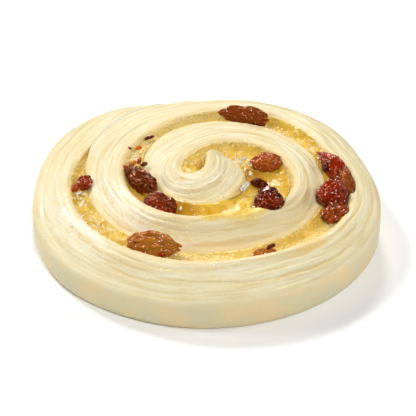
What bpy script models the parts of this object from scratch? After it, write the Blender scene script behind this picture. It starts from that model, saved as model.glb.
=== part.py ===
"""Pain aux raisins, rolled, cut and not yet baked: one long strip of laminated dough wound
into a flat coil, with custard filling the seam between its turns and raisins wedged in it.
Metres, +Z up, the flat underside on z = 0. Angles are in degrees round the coil's centre,
counter-clockwise seen from above, and grow from the loose outer end towards the middle.
"""

import math

import bmesh
import bpy
from mathutils import Euler, Matrix, Vector, noise

MM = 0.001

# The coil in plan, in millimetres.
COIL_X, COIL_Y = 0.0, 3.0            # centre that the seam winds round
TAIL_END = 103.0                     # angle of the strip's loose outer end
KNOB_END = 1159.0                    # angle of the strip's inner end, the peak of the knob
SEAM_FROM, SEAM_STEP = 112.0, 45.0   # angles of the entries in the seam's tables
SEAM_RADIUS = (40.0, 36.2, 35.2, 33.0, 32.6, 36.0, 33.9, 31.6, 26.3, 22.1, 17.8, 15.6,
               14.6, 16.7, 16.0, 12.6, 8.8, 7.0)
SEAM_HALF = (0.2, 0.5, 2.6, 3.5, 3.4, 3.6, 1.5, 2.3, 1.0, 2.0, 4.2, 4.3,
             3.9, 6.8, 5.4, 3.6, 2.2, 1.6)
SEAM_HALF_BELOW = 2.0                # the seam closes to this half width at the underside
HOLLOW_FROM = 832.0                  # past this the strip's inner edge goes round the hollow
HOLLOW_X, HOLLOW_Y = -3.8, 6.4       # the small hollow that the strip's inner end curls round
HOLLOW_RX, HOLLOW_RY = 3.2, 4.4
HOLLOW_TURN = (160.0, 385.0)         # direction from the hollow's centre, start and end

# The skin wall round the outside.
RIM_X, RIM_Y = 1.0, 0.2              # centre of the rim, where the cut face meets the skin
RIM_RX, RIM_RY = 46.6, 43.7
RIM_Z, RIM_Z_TILT = 11.3, 2.0        # the rim is lower at the front and higher at the back,
RIM_Z_TURN = 20.0                    # and highest this far to the right of the very back
# Where the rim is fuller or flatter than an ellipse: angle, reach either way, share of radius.
RIM_FULL = ((12, 30, -0.04), (60, 30, 0.016), (144, 58, 0.08), (215, 50, 0.035),
            (262, 28, 0.01), (315, 45, 0.002))
TAIL_SWELL = 1.1                     # the loose end stands out from the round,
TAIL_NOTCH = 0.95                    # the turn that it lies on dips in beside its tip,
TAIL_THIN, TAIL_THIN_TO = 1.1, 25.0  # and it is rolled lower at its tip, for this many degrees
BULGE, BULGE_SIDE = 1.0, 0.6         # how far the wall swells past the rim, more on the left
FOOT = 1.2                           # how far it pulls in at its foot

# Heights of the cut face.
FACE_Z = 15.2
FACE_TILT = 0.03                     # rise towards the back, per millimetre
FACE_DOME, FACE_DOME_AT = 2.6, 45.0  # how much lower the face is this far from the middle
DROP, DROP_TILT = 2.7, 1.9           # fall across one turn, outwards, more at the front
KNOB_RISE, KNOB_RISE_OUTER = 2.4, 1.4  # of the strip's two edges towards the knob
KNOB_FROM = 847.0                    # where that rise begins
PEAK_RISE, PEAK_FROM = 1.2, 1087.0   # a last rise of the outer edge to the peak itself
LAYERS = 7                           # lamination ridges that show across one turn
RIDGE = 0.32                         # their height over and under the face
# Where the outer edge turns from the rim, with its skin, to a wall along the seam.
WALL_FROM, WALL_TO = TAIL_END + 338, TAIL_END + 358

SECTION_STEP = 8.0                   # angle between two sections of the strip
GAP = 0.45                           # custard to dough, along the section
CUSTARD_FROM = 175.0                 # both on the strip's own sections
CUSTARD_TO = 951.0
CUSTARD_Z, CUSTARD_RISE = 12.0, 1.8  # height of its top, and how much higher the hollow's is
CUSTARD_BOTTOM = 0.4
CUSTARD_ROOM = 8.5                   # more gaps, beside the rounded end of the strip

POCKET_GAP = 0.35                    # raisin to the dough and custard round it
NOISE_OFFSET = Vector((17.3, 4.1, 9.7))


def table(values, theta):
    """Smooth curve through evenly spaced values, read at an angle."""
    place = min(max((theta - SEAM_FROM) / SEAM_STEP, -0.2), len(values) - 1.001)
    i = max(int(place), 0)
    f = place - i
    p0, p1, p2, p3 = (values[min(max(i + k, 0), len(values) - 1)] for k in (-1, 0, 1, 2))
    return 0.5 * (2 * p1 + (p2 - p0) * f + (2 * p0 - 5 * p1 + 4 * p2 - p3) * f * f
                  + (3 * p1 - p0 - 3 * p2 + p3) * f ** 3)


def blend(low, high, x):
    """0 below low, 1 above high, smooth between."""
    t = min(max((x - low) / (high - low), 0.0), 1.0)
    return t * t * (3 - 2 * t)


def mix(a, b, t):
    return a + (b - a) * t


def polar(radius, theta):
    a = math.radians(theta)
    return Vector((COIL_X + radius * math.cos(a), COIL_Y + radius * math.sin(a)))


def seam_half(theta, below):
    """Half width of the seam at the top, or at the underside, where it closes up."""
    half = max(table(SEAM_HALF, theta), 0.2)
    if not below:
        return half
    return mix(min(half * 0.75, SEAM_HALF_BELOW), half, blend(750, 790, theta))


def hollow_point(theta):
    """The strip's inner edge where it curls round the hollow to its end."""
    part = (theta - HOLLOW_FROM) / (KNOB_END - HOLLOW_FROM)
    a = math.radians(mix(*HOLLOW_TURN, part))
    return Vector((HOLLOW_X + HOLLOW_RX * math.cos(a), HOLLOW_Y + HOLLOW_RY * math.sin(a)))


def rim_point(theta):
    """The rim, where a ray from the coil's centre meets it."""
    a = math.radians(theta)
    dx, dy = math.cos(a) / RIM_RX, math.sin(a) / RIM_RY
    ox, oy = (COIL_X - RIM_X) / RIM_RX, (COIL_Y - RIM_Y) / RIM_RY
    qa, qb, qc = dx * dx + dy * dy, ox * dx + oy * dy, ox * ox + oy * oy - 1
    full = sum(share * (1 - blend(0, reach, abs((theta - angle + 180) % 360 - 180)))
               for angle, reach, share in RIM_FULL)
    radius = (-qb + math.sqrt(qb * qb - qa * qc)) / qa * (1 + full)
    tail = (theta - TAIL_END) % 360
    radius += TAIL_SWELL * blend(0, 22, tail) * (1 - blend(35, 80, tail))
    return polar(radius - TAIL_NOTCH * blend(330, 360, tail), theta)


def inner_edge(theta, below=False):
    seam = polar(table(SEAM_RADIUS, theta) + seam_half(theta, below), theta)
    if theta <= HOLLOW_FROM - 30:
        return seam
    return seam.lerp(hollow_point(theta), blend(HOLLOW_FROM - 30, HOLLOW_FROM + 50, theta))


def outer_edge(theta, below=False):
    if theta < TAIL_END + 360:
        return rim_point(theta)
    return polar(table(SEAM_RADIUS, theta - 360) - seam_half(theta - 360, below), theta)


def face_height(point):
    return FACE_Z + FACE_TILT * point.y - FACE_DOME * (point.length / FACE_DOME_AT) ** 3


def face_drop(point):
    return DROP - DROP_TILT * point.y / max(point.length, 6.0)


def knob_part(theta):
    return blend(KNOB_FROM, KNOB_END - 20, theta)


def inner_height(theta):
    """Height of the cut face along the strip's inner edge."""
    edge = inner_edge(theta)
    tip = TAIL_THIN * (1 - blend(TAIL_END, TAIL_END + TAIL_THIN_TO, theta))
    return face_height(edge) + 0.25 * face_drop(edge) + KNOB_RISE * knob_part(theta) - tip


def outer_height(theta):
    """Height of the cut face along the strip's outer edge."""
    edge = outer_edge(theta)
    inside = face_height(edge) - 0.75 * face_drop(edge) * (1 - 0.5 * knob_part(theta))
    inside += KNOB_RISE_OUTER * knob_part(theta) + PEAK_RISE * blend(PEAK_FROM, KNOB_END, theta)
    if TAIL_END < theta - 360 < 200:
        shut = 1 - blend(0.5, 1.8, table(SEAM_HALF, theta - 360))
        inside = mix(inside, inner_height(theta - 360) - 0.3, shut)
    rim = RIM_Z + RIM_Z_TILT * math.sin(math.radians(theta + RIM_Z_TURN))
    rim -= 1.6 * TAIL_THIN * (1 - blend(TAIL_END, TAIL_END + TAIL_THIN_TO, theta))
    return mix(rim, inside, blend(WALL_FROM, WALL_TO, theta))


def section(theta):
    """One closed section of the strip: up the inner wall, out over the layers, down the
    outer wall, which is the skin on the first turn, and back along the flat underside."""
    inner, outer = inner_edge(theta), outer_edge(theta)
    inner_low, outer_low = inner_edge(theta, True), outer_edge(theta, True)
    across = (outer - inner).normalized()
    width = (outer - inner).length
    z_in, z_out = inner_height(theta), outer_height(theta)

    def at(edge, shift, z):
        flat = edge + across * shift
        return Vector((flat.x, flat.y, z)) * MM

    crest = min(0.9, 0.2 * width)
    # The layers fade out at the two rounded ends.
    ridge = RIDGE * blend(4, 26, theta - TAIL_END) * blend(0, 30, KNOB_END - theta)
    points = [at(inner_low, 0, 0), at(inner.lerp(inner_low, 1.1 / z_in), 0, z_in - 1.1),
              at(inner, 0.35 * crest, z_in - 0.3)]
    for layer in range(LAYERS):
        for place, lift in ((0.12, 1.0), (0.88, -1.0)):
            u = (layer + place) / LAYERS
            sway = noise.noise(Vector((theta / 38, 2.1 * layer, 0.0)) + NOISE_OFFSET)
            height = mix(z_in, z_out, u ** 1.25) + ridge * (lift * (1 + sway) - 0.4)
            shift = mix(crest, width - crest, min(max(u + 0.03 * sway * ridge / RIDGE, 0), 1))
            points.append(at(inner, shift, height))

    angle = math.radians(theta)
    swell = BULGE - BULGE_SIDE * math.cos(angle)
    foot = -min(FOOT, 0.3 * width)
    wall = blend(WALL_FROM, WALL_TO, theta)
    skin = ((0.1, z_out - 0.5), (0.55 * swell, z_out - 1.8), (0.95 * swell, 0.62 * z_out),
            (swell, 0.42 * z_out), (0.75 * swell, 0.2 * z_out), (0.1, 0.06 * z_out), (foot, 0))
    for step, (shift, z) in enumerate(skin):
        if step == 0:
            face = at(outer, -0.3 * crest, z_out - 0.3)
        else:
            down = (z_out - 1.1) * (6 - step) / 5
            face = at(outer.lerp(outer_low, 1 - down / z_out), 0, down)
        points.append(at(outer, shift, z).lerp(face, wall))
    return points


def loft(name, rings):
    """A closed mesh through rings that all hold the same number of points."""
    bm = bmesh.new()
    rows = [[bm.verts.new(p) for p in ring] for ring in rings]
    count = len(rows[0])
    for a, b in zip(rows, rows[1:]):
        for i in range(count):
            j = (i + 1) % count
            bm.faces.new((a[i], a[j], b[j], b[i]))
    ends = [bm.faces.new(rows[0][::-1]), bm.faces.new(rows[-1])]
    bmesh.ops.poke(bm, faces=ends)
    bmesh.ops.recalc_face_normals(bm, faces=bm.faces)
    mesh = bpy.data.meshes.new(name)
    bm.to_mesh(mesh)
    bm.free()
    return bpy.data.objects.new(name, mesh)


def squeezed(ring, keep, forward, lower):
    """A ring drawn in towards its middle line, for a rounded end."""
    middle = sum(ring, Vector()) / len(ring)
    top = max(p.z for p in ring)
    out = []
    for p in ring:
        q = middle.lerp(p, keep)
        out.append(Vector((q.x, q.y, p.z * (top - lower * MM) / top)) + forward * MM)
    return out


def onward(theta):
    """The direction that the strip runs in, square to its section."""
    across = outer_edge(theta) - inner_edge(theta)
    return Vector((-across.y, across.x, 0)).normalized()


def dough():
    """The whole strip, from its thin outer end to the knob in the middle."""
    steps = round((KNOB_END - TAIL_END) / SECTION_STEP)
    rings = [section(TAIL_END + i * SECTION_STEP) for i in range(1, steps + 1)]
    ahead = onward(KNOB_END)
    rings += [squeezed(rings[-1], 0.8, ahead * 0.7, 0.5), squeezed(rings[-1], 0.4, ahead * 1.1, 1.6)]
    rings.insert(0, section(TAIL_END + 4))
    rings.insert(0, squeezed(rings[0], 0.55, onward(TAIL_END + 4) * -0.9, 1.2))
    return loft("dough", rings)


def far_side(theta):
    """The angle at which the strip's outer edge faces its inner edge across the seam. Past the
    knob's peak the seam runs on into the hollow, and there the inner edge faces itself."""
    peak = KNOB_END - 360
    return theta + 360 if theta <= peak else KNOB_END + peak - theta


def custard_side(theta, edge, height, z):
    """A point of the wall that the custard fills up to, between its foot and its crest."""
    low, high = edge(theta, True), edge(theta, False)
    return low.lerp(high, z / height(theta))


def custard():
    """The filling, which goes through the full height of the coil."""
    rings = []
    theta = CUSTARD_FROM
    while theta <= CUSTARD_TO:
        other = far_side(theta)
        edge, height = inner_edge, inner_height
        if theta <= KNOB_END - 360:
            edge, height = outer_edge, outer_height
        top = CUSTARD_Z + CUSTARD_RISE * blend(800, 880, theta)
        room = CUSTARD_ROOM * blend(785, 812, theta) * (1 - blend(815, 850, theta))
        z_out, z_in = min(top, inner_height(theta) - 1.2), min(top, height(other) - 0.5)
        low_out = custard_side(theta, inner_edge, inner_height, 0)
        low_in = custard_side(other, edge, height, 0)
        top_out = custard_side(theta, inner_edge, inner_height, z_out)
        top_in = custard_side(other, edge, height, z_in)
        ring = []
        for a, b, place, z in ((low_in, low_out, 0, CUSTARD_BOTTOM), (low_in, low_out, 1, CUSTARD_BOTTOM),
                               (top_in, top_out, 1, z_out), (top_in, top_out, 0.7, mix(z_in, z_out, 0.7)),
                               (top_in, top_out, 0.3, mix(z_in, z_out, 0.3)), (top_in, top_out, 0, z_in)):
            gap = (b - a).normalized() * GAP
            p = (a + gap * (1 + room)).lerp(b - gap, place)
            lump = noise.noise(Vector((p.x, p.y, 0)) * 0.35 + NOISE_OFFSET) * 0.5 - 0.3
            ring.append(Vector((p.x, p.y, z + (lump if 0 < place < 1 else 0))) * MM)
        rings.append(ring)
        theta += SECTION_STEP
    return loft("custard", rings)


# name, x, y, z of the middle, length, width, height, turn and pitch in degrees, how far its
# two ends bend aside, how much fuller its far end is, finer
RAISINS = (
    ("raisin_01", 10.9, 32.7, 14.6, 14.8, 6.4, 6.6, -15, 0, -0.8, 0.12, True),
    ("raisin_02", 34.8, 8.9, 13.4, 11.6, 6.2, 6.4, -58, 12, -0.8, 0.22, True),
    ("raisin_03", 39.5, 0.7, 12.8, 9.0, 4.2, 5.0, -85, 14, -0.9, -0.25, False),
    ("raisin_04", 34.0, -4.4, 13.2, 9.0, 8.4, 8.4, 40, 0, 0, 0, True),
    ("raisin_05", 35.0, -11.7, 11.7, 7.6, 5.2, 4.8, 25, 0, 0, 0, False),
    ("raisin_06", 16.6, 11.0, 13.6, 8.9, 6.4, 5.6, -4, 0, -0.4, 0, True),
    ("raisin_07", 16.9, -7.9, 14.4, 8.2, 7.8, 7.6, 30, 0, 0, 0, True),
    ("raisin_08", 14.6, 1.6, 13.0, 4.6, 2.8, 3.2, -20, 0, 0, 0, False),
    ("raisin_09", -19.2, 3.6, 13.8, 10.6, 8.0, 7.2, -50, 0, 0.5, 0, True),
    ("raisin_10", -13.3, -7.6, 13.2, 9.8, 6.6, 6.4, -24, 0, 0.5, -0.15, True),
    ("raisin_11", -33.8, 2.6, 12.6, 5.2, 4.6, 4.6, 80, 0, 0, 0, False),
    ("raisin_12", -14.3, -26.2, 13.2, 13.4, 7.4, 7.4, -8, 0, 0.7, 0, True),
    ("raisin_13", 14.6, -27.2, 11.6, 5.8, 3.6, 3.4, 10, 0, 0, 0, False),
)


def dried_grape(name, row, detail, grow, spare, folds):
    """A bent egg at a raisin's place: the raisin itself with its folds, or the smooth room
    round it, a little larger and with spare millimetres all round."""
    _, x, y, z, length, width, height, turn, pitch, bend, fuller, _ = row
    bm = bmesh.new()
    bmesh.ops.create_icosphere(bm, subdivisions=detail, radius=0.5)
    middle = Vector((x, y, z))
    for v in bm.verts:
        unit = v.co.normalized()
        if folds:
            fold = abs(noise.noise(Vector((unit.x * 1.3, unit.y * 3.1, unit.z * 3.1)) + middle))
            dent = noise.noise(unit * 1.4 + middle * 0.5)
            v.co *= 1.0 - 0.16 * (1 - min(fold * 3.2, 1.0)) - 0.07 * abs(dent)
        full = 1 + fuller * unit.x
        v.co = Vector((v.co.x * (length * grow + spare),
                       v.co.y * (width * grow * full + spare) + bend * unit.x ** 2,
                       v.co.z * (height * grow * full + spare))) * MM
    bmesh.ops.recalc_face_normals(bm, faces=bm.faces)
    facing = Euler((0, math.radians(pitch), math.radians(turn))).to_matrix().to_4x4()
    bm.transform(Matrix.Translation(middle * MM) @ facing)
    mesh = bpy.data.meshes.new(name)
    bm.to_mesh(mesh)
    bm.free()
    return bpy.data.objects.new(name, mesh)


def raisin(row):
    return dried_grape(row[0], row, 3 if row[-1] else 2, 1.0, 0.0, True)


def pocket(row):
    return dried_grape("pocket_" + row[0], row, 2, 1.03, 2 * POCKET_GAP, False)


def coat(obj, colour, roughness):
    """The object's own Principled material."""
    material = bpy.data.materials.new(obj.name)
    material.use_nodes = True
    shader = material.node_tree.nodes["Principled BSDF"]
    shader.inputs["Base Color"].default_value = (*colour, 1)
    shader.inputs["Roughness"].default_value = roughness
    material.diffuse_color = (*colour, 1)
    obj.data.materials.append(material)


def clear_scene():
    for obj in list(bpy.data.objects):
        bpy.data.objects.remove(obj)


def new_collection(name):
    collection = bpy.data.collections.new(name)
    bpy.context.scene.collection.children.link(collection)
    return collection


def main():
    clear_scene()
    parts, cutters = new_collection("pain_aux_raisins"), new_collection("cutters")
    cutters.hide_render = True
    body, filling = dough(), custard()
    coat(body, (0.80, 0.70, 0.44), 0.6)
    coat(filling, (0.80, 0.52, 0.10), 0.35)
    fruits = []
    for row in RAISINS:
        fruit = raisin(row)
        coat(fruit, (0.16, 0.02, 0.008), 0.3)
        fruits.append(fruit)
        cutter = pocket(row)
        cutter.hide_render = True
        cutter.display_type = "WIRE"
        cutters.objects.link(cutter)
    for solid in (body, filling):
        cut = solid.modifiers.new("pockets", "BOOLEAN")
        cut.operation, cut.solver = "DIFFERENCE", "EXACT"
        cut.operand_type, cut.collection = "COLLECTION", cutters
    xs = [v.co.x for v in body.data.vertices]
    ys = [v.co.y for v in body.data.vertices]
    centre = Matrix.Translation((-(min(xs) + max(xs)) / 2, -(min(ys) + max(ys)) / 2, 0))
    for obj in (body, filling, *fruits):
        parts.objects.link(obj)
        obj.data.transform(centre)
    for obj in cutters.objects:
        obj.data.transform(centre)


main()
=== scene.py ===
"""Looks of a pain aux raisins before baking, on a pale studio floor.

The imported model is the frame. The dough, the custard and every raisin are made again here from
the same sizes with their fine relief, and stand for the plain solids. Lengths in the classes
are millimetres, and angles are degrees round the coil's centre, as in the solids.
"""

import logging
import math
from dataclasses import dataclass
from enum import Enum
from functools import partial

import bmesh
import bpy
import numpy as np
from bpy.types import Material, Mesh, Node, NodeSocket, NodeTree, Object
from mathutils import Euler, Matrix, Vector
from mathutils.bvhtree import BVHTree


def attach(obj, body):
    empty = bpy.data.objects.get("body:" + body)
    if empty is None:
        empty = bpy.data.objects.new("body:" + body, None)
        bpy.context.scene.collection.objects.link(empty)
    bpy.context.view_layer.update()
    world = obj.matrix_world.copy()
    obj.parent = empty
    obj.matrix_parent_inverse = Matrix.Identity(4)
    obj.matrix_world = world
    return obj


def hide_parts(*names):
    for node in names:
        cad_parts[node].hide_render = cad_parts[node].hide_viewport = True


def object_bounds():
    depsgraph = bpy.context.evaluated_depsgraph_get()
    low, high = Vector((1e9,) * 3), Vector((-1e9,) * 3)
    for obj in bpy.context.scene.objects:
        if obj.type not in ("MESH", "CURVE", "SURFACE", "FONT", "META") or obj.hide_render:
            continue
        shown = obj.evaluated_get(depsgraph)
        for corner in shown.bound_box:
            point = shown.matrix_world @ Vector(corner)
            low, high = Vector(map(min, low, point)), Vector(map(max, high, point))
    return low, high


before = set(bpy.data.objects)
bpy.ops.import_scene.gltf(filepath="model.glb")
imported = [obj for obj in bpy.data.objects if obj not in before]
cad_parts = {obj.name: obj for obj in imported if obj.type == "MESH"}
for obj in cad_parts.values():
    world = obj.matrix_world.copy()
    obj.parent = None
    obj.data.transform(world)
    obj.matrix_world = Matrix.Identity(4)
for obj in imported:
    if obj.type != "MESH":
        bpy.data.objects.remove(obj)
CAD_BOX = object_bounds()

MM = 0.001
Array = np.ndarray
Pair = tuple[float, float]
Input = Node | NodeSocket | float | str | tuple[float, ...]
log = logging.getLogger("pain_aux_raisins")


class Slot(Enum):
    """Material slots."""

    DOUGH = "dough"
    CUSTARD = "custard"
    RAISIN = "raisin"


class Kind(Enum):
    """Kinds of node: Blender's name for each, and the settings that it has here."""

    PLUS = "ShaderNodeMath operation=ADD"
    MINUS = "ShaderNodeMath operation=SUBTRACT"
    TIMES = "ShaderNodeMath operation=MULTIPLY"
    TIMES_PLUS = "ShaderNodeMath operation=MULTIPLY_ADD"
    OVER = "ShaderNodeMath operation=DIVIDE"
    FRACTION = "ShaderNodeMath operation=FRACT"
    SIZE = "ShaderNodeMath operation=ABSOLUTE"
    LARGER = "ShaderNodeMath operation=MAXIMUM"
    VECTOR_PLUS = "ShaderNodeVectorMath operation=ADD"
    VECTOR_TIMES = "ShaderNodeVectorMath operation=MULTIPLY"
    VECTOR_TIMES_PLUS = "ShaderNodeVectorMath operation=MULTIPLY_ADD"
    VECTOR_SCALE = "ShaderNodeVectorMath operation=SCALE"
    XYZ = "ShaderNodeCombineXYZ"
    AXES = "ShaderNodeSeparateXYZ"
    RANGE = "ShaderNodeMapRange"
    SMOOTH_RANGE = "ShaderNodeMapRange interpolation_type=SMOOTHSTEP"
    NOISE = "ShaderNodeTexNoise"
    MIX = "ShaderNodeMix data_type=RGBA"
    BUMP = "ShaderNodeBump"
    COORDINATES = "ShaderNodeTexCoord"
    MARK = "ShaderNodeAttribute"
    GIVEN = "NodeGroupInput"
    RESULT = "NodeGroupOutput"
    READ = "GeometryNodeInputNamedAttribute data_type=FLOAT"
    STORE = "GeometryNodeStoreNamedAttribute data_type=FLOAT domain=POINT"
    PLACE = "GeometryNodeInputPosition"
    NORMAL = "GeometryNodeInputNormal"
    MOVE = "GeometryNodeSetPosition"
    SPREAD = "GeometryNodeDistributePointsOnFaces"
    BALL = "GeometryNodeMeshIcoSphere"
    RANDOM = "FunctionNodeRandomValue data_type=FLOAT"
    RANDOM_VECTOR = "FunctionNodeRandomValue data_type=FLOAT_VECTOR"
    COPIES = "GeometryNodeInstanceOnPoints"
    SHIFT_COPIES = "GeometryNodeTranslateInstances"
    REALIZE = "GeometryNodeRealizeInstances"
    SMOOTH = "GeometryNodeSetShadeSmooth"
    DRESS = "GeometryNodeSetMaterial"


# Small tools.


def colour(text: str) -> tuple[float, float, float, float]:
    """An sRGB hex colour as the linear values that a shader takes.

    Args:
        text: Six hex digits.

    Returns:
        Linear red, green and blue, and an alpha of 1.
    """
    parts = [int(text[i:i + 2], 16) / 255 for i in (0, 2, 4)]
    linear = [c / 12.92 if c <= 0.04045 else ((c + 0.055) / 1.055) ** 2.4 for c in parts]
    return (*linear, 1.0)


def blend(low: float, high: float, x: Array | float) -> Array | float:
    """0 below low, 1 above high, smooth between."""
    t = np.clip((x - low) / (high - low), 0.0, 1.0)
    return t * t * (3 - 2 * t)


def mix(a: Array | float, b: Array | float, t: Array | float) -> Array | float:
    """The value a share t of the way from a to b."""
    return a + (b - a) * t


def fill(tree: NodeTree, node: Node, inputs: dict[int | str, Input]) -> None:
    """Set or link a node's inputs.

    Args:
        tree: The tree that it stands in.
        node: The node.
        inputs: Value or source for each input, by its number, or its name with _ for a space.
            A node stands for its first output in use.
    """
    for key, value in inputs.items():
        socket = node.inputs[key] if isinstance(key, int) else next(
            s for s in node.inputs if s.name == key.replace("_", " ") and s.enabled)
        if isinstance(value, Node):
            value = next(s for s in value.outputs if s.enabled)
        if isinstance(value, NodeSocket):
            tree.links.new(value, socket)
        else:
            socket.default_value = value


def add_node(tree: NodeTree, kind: Kind, *values: Input, **named: Input) -> Node:
    """Add one node with its settings, values and links.

    Args:
        tree: The node tree that takes it.
        kind: The node's kind. A range takes its value, from what to what, and to what.
        *values: Value or source for each input in turn.
        **named: The same by the input's name. A name in small letters is a property instead.

    Returns:
        The new node.
    """
    name, *settings = kind.value.split()
    node = tree.nodes.new(name)
    own = {key: value for key, value in named.items() if key.islower()}
    for key, value in [setting.split("=") for setting in settings] + list(own.items()):
        setattr(node, key, value)
    fill(tree, node, dict(enumerate(values)) | {k: v for k, v in named.items() if k not in own})
    return node


class Graph:
    """A Geometry Nodes tree, with a mesh, a material and named sizes as its inputs."""

    def __init__(self, name: str, **sizes: float) -> None:
        """Open the tree.

        Args:
            name: The tree's name.
            **sizes: Name and default of each input that is a number.
        """
        self.tree = bpy.data.node_groups.new(name, "GeometryNodeTree")
        sockets = [("Geometry", "OUTPUT", "Geometry"), ("Geometry", "INPUT", "Geometry"),
                   ("Material", "INPUT", "Material"), *((s, "INPUT", "Float") for s in sizes)]
        for label, side, kind in sockets:
            socket = self.tree.interface.new_socket(label, in_out=side,
                                                    socket_type="NodeSocket" + kind)
            if label in sizes:
                socket.default_value = sizes[label]
        self.add = partial(add_node, self.tree)
        self.sizes = self.add(Kind.GIVEN).outputs

    def close(self, geometry: Node) -> NodeTree:
        """End the tree in Realize Instances and Set Material.

        Args:
            geometry: The node that gives the result.

        Returns:
            The tree.
        """
        smooth = self.add(Kind.SMOOTH, self.add(Kind.REALIZE, geometry))
        self.add(Kind.RESULT, self.add(Kind.DRESS, smooth, Material=self.sizes["Material"]))
        return self.tree


def run_graph(obj: Object, tree: NodeTree, material: Material, sizes: dict[str, float]) -> None:
    """Give a piece its tree's result as a plain mesh.

    Args:
        obj: The piece, which keeps its name.
        tree: The tree to run on its mesh.
        material: The finish that the tree sets.
        sizes: Values for the tree's named inputs.
    """
    modifier = obj.modifiers.new(tree.name, "NODES")
    modifier.node_group = tree
    values = {"Material": material, **sizes}
    for item in tree.interface.items_tree:
        if item.in_out == "INPUT" and item.name in values:
            modifier[item.identifier] = values[item.name]
    graph = bpy.context.evaluated_depsgraph_get()
    graph.update()
    mesh = bpy.data.meshes.new_from_object(obj.evaluated_get(graph))
    obj.modifiers.clear()
    old, obj.data = obj.data, mesh
    bpy.data.meshes.remove(old)
    mesh.name = obj.name


def grid_mesh(name: str, points: Array) -> Mesh:
    """A closed mesh through rings of points, with a fan at each end.

    Args:
        name: The mesh's name.
        points: Rings, points round each ring, and x, y and z in metres.

    Returns:
        The mesh, with its faces outwards.
    """
    rings, count = points.shape[:2]
    index = np.arange(rings * count).reshape(rings, count)
    a, b = index[:-1], index[1:]
    faces = np.stack([a, np.roll(a, -1, 1), np.roll(b, -1, 1), b], -1).reshape(-1, 4).tolist()
    rows = np.concatenate([points.reshape(-1, 3), [points[0].mean(0), points[-1].mean(0)]])
    for j in range(count):
        k = (j + 1) % count
        faces.append((int(index[0, k]), int(index[0, j]), rings * count))
        faces.append((int(index[-1, j]), int(index[-1, k]), rings * count + 1))
    mesh = bpy.data.meshes.new(name)
    mesh.from_pydata(rows.tolist(), [], faces)
    bm = bmesh.new()
    bm.from_mesh(mesh)
    bmesh.ops.recalc_face_normals(bm, faces=bm.faces)
    bm.to_mesh(mesh)
    bm.free()
    mesh.shade_smooth()
    return mesh


def put_mark(mesh: Mesh, name: str, values: Array) -> None:
    """Store one number a point under a name, padded with its last value.

    Args:
        mesh: The mesh that takes it.
        name: The mark's name.
        values: A number for each point, or for all but the last few.
    """
    full = np.full(len(mesh.vertices), values.reshape(-1)[-1], np.float32)
    full[:values.size] = values.reshape(-1)
    mesh.attributes.new(name, "FLOAT", "POINT").data.foreach_set("value", full)


def read_points(mesh: Mesh) -> Array:
    """A mesh's points.

    Args:
        mesh: The mesh.

    Returns:
        Its points, one a row, in metres.
    """
    points = np.empty(len(mesh.vertices) * 3, np.float32)
    mesh.vertices.foreach_get("co", points)
    return points.reshape(-1, 3)


def write_points(mesh: Mesh, points: Array) -> None:
    """Move a mesh's points."""
    mesh.vertices.foreach_set("co", points.astype(np.float32).ravel())
    mesh.update()


def new_piece(name: str, data: bpy.types.ID) -> Object:
    """A named object in the scene, at the origin.

    Args:
        name: The object's name.
        data: Its mesh, lamp or camera.

    Returns:
        The object.
    """
    obj = bpy.data.objects.new(name, data)
    bpy.context.scene.collection.objects.link(obj)
    return obj


def hand_over(obj: Object, slot: Slot, *nodes: str) -> Object:
    """Settle what every piece needs, with any point outside the solids' box pressed back.

    Args:
        obj: The piece, at its place.
        slot: Its material slot; not used.
        *nodes: The solids that it stands for.

    Returns:
        The same piece.
    """
    low, high = (np.array(corner) for corner in CAD_BOX)
    write_points(obj.data, np.clip(read_points(obj.data), low, high))
    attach(obj, "root")
    if nodes:
        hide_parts(*nodes)
    log.info("%s: %d points", obj.name, len(obj.data.vertices))
    return obj


# The coil's shape.


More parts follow.
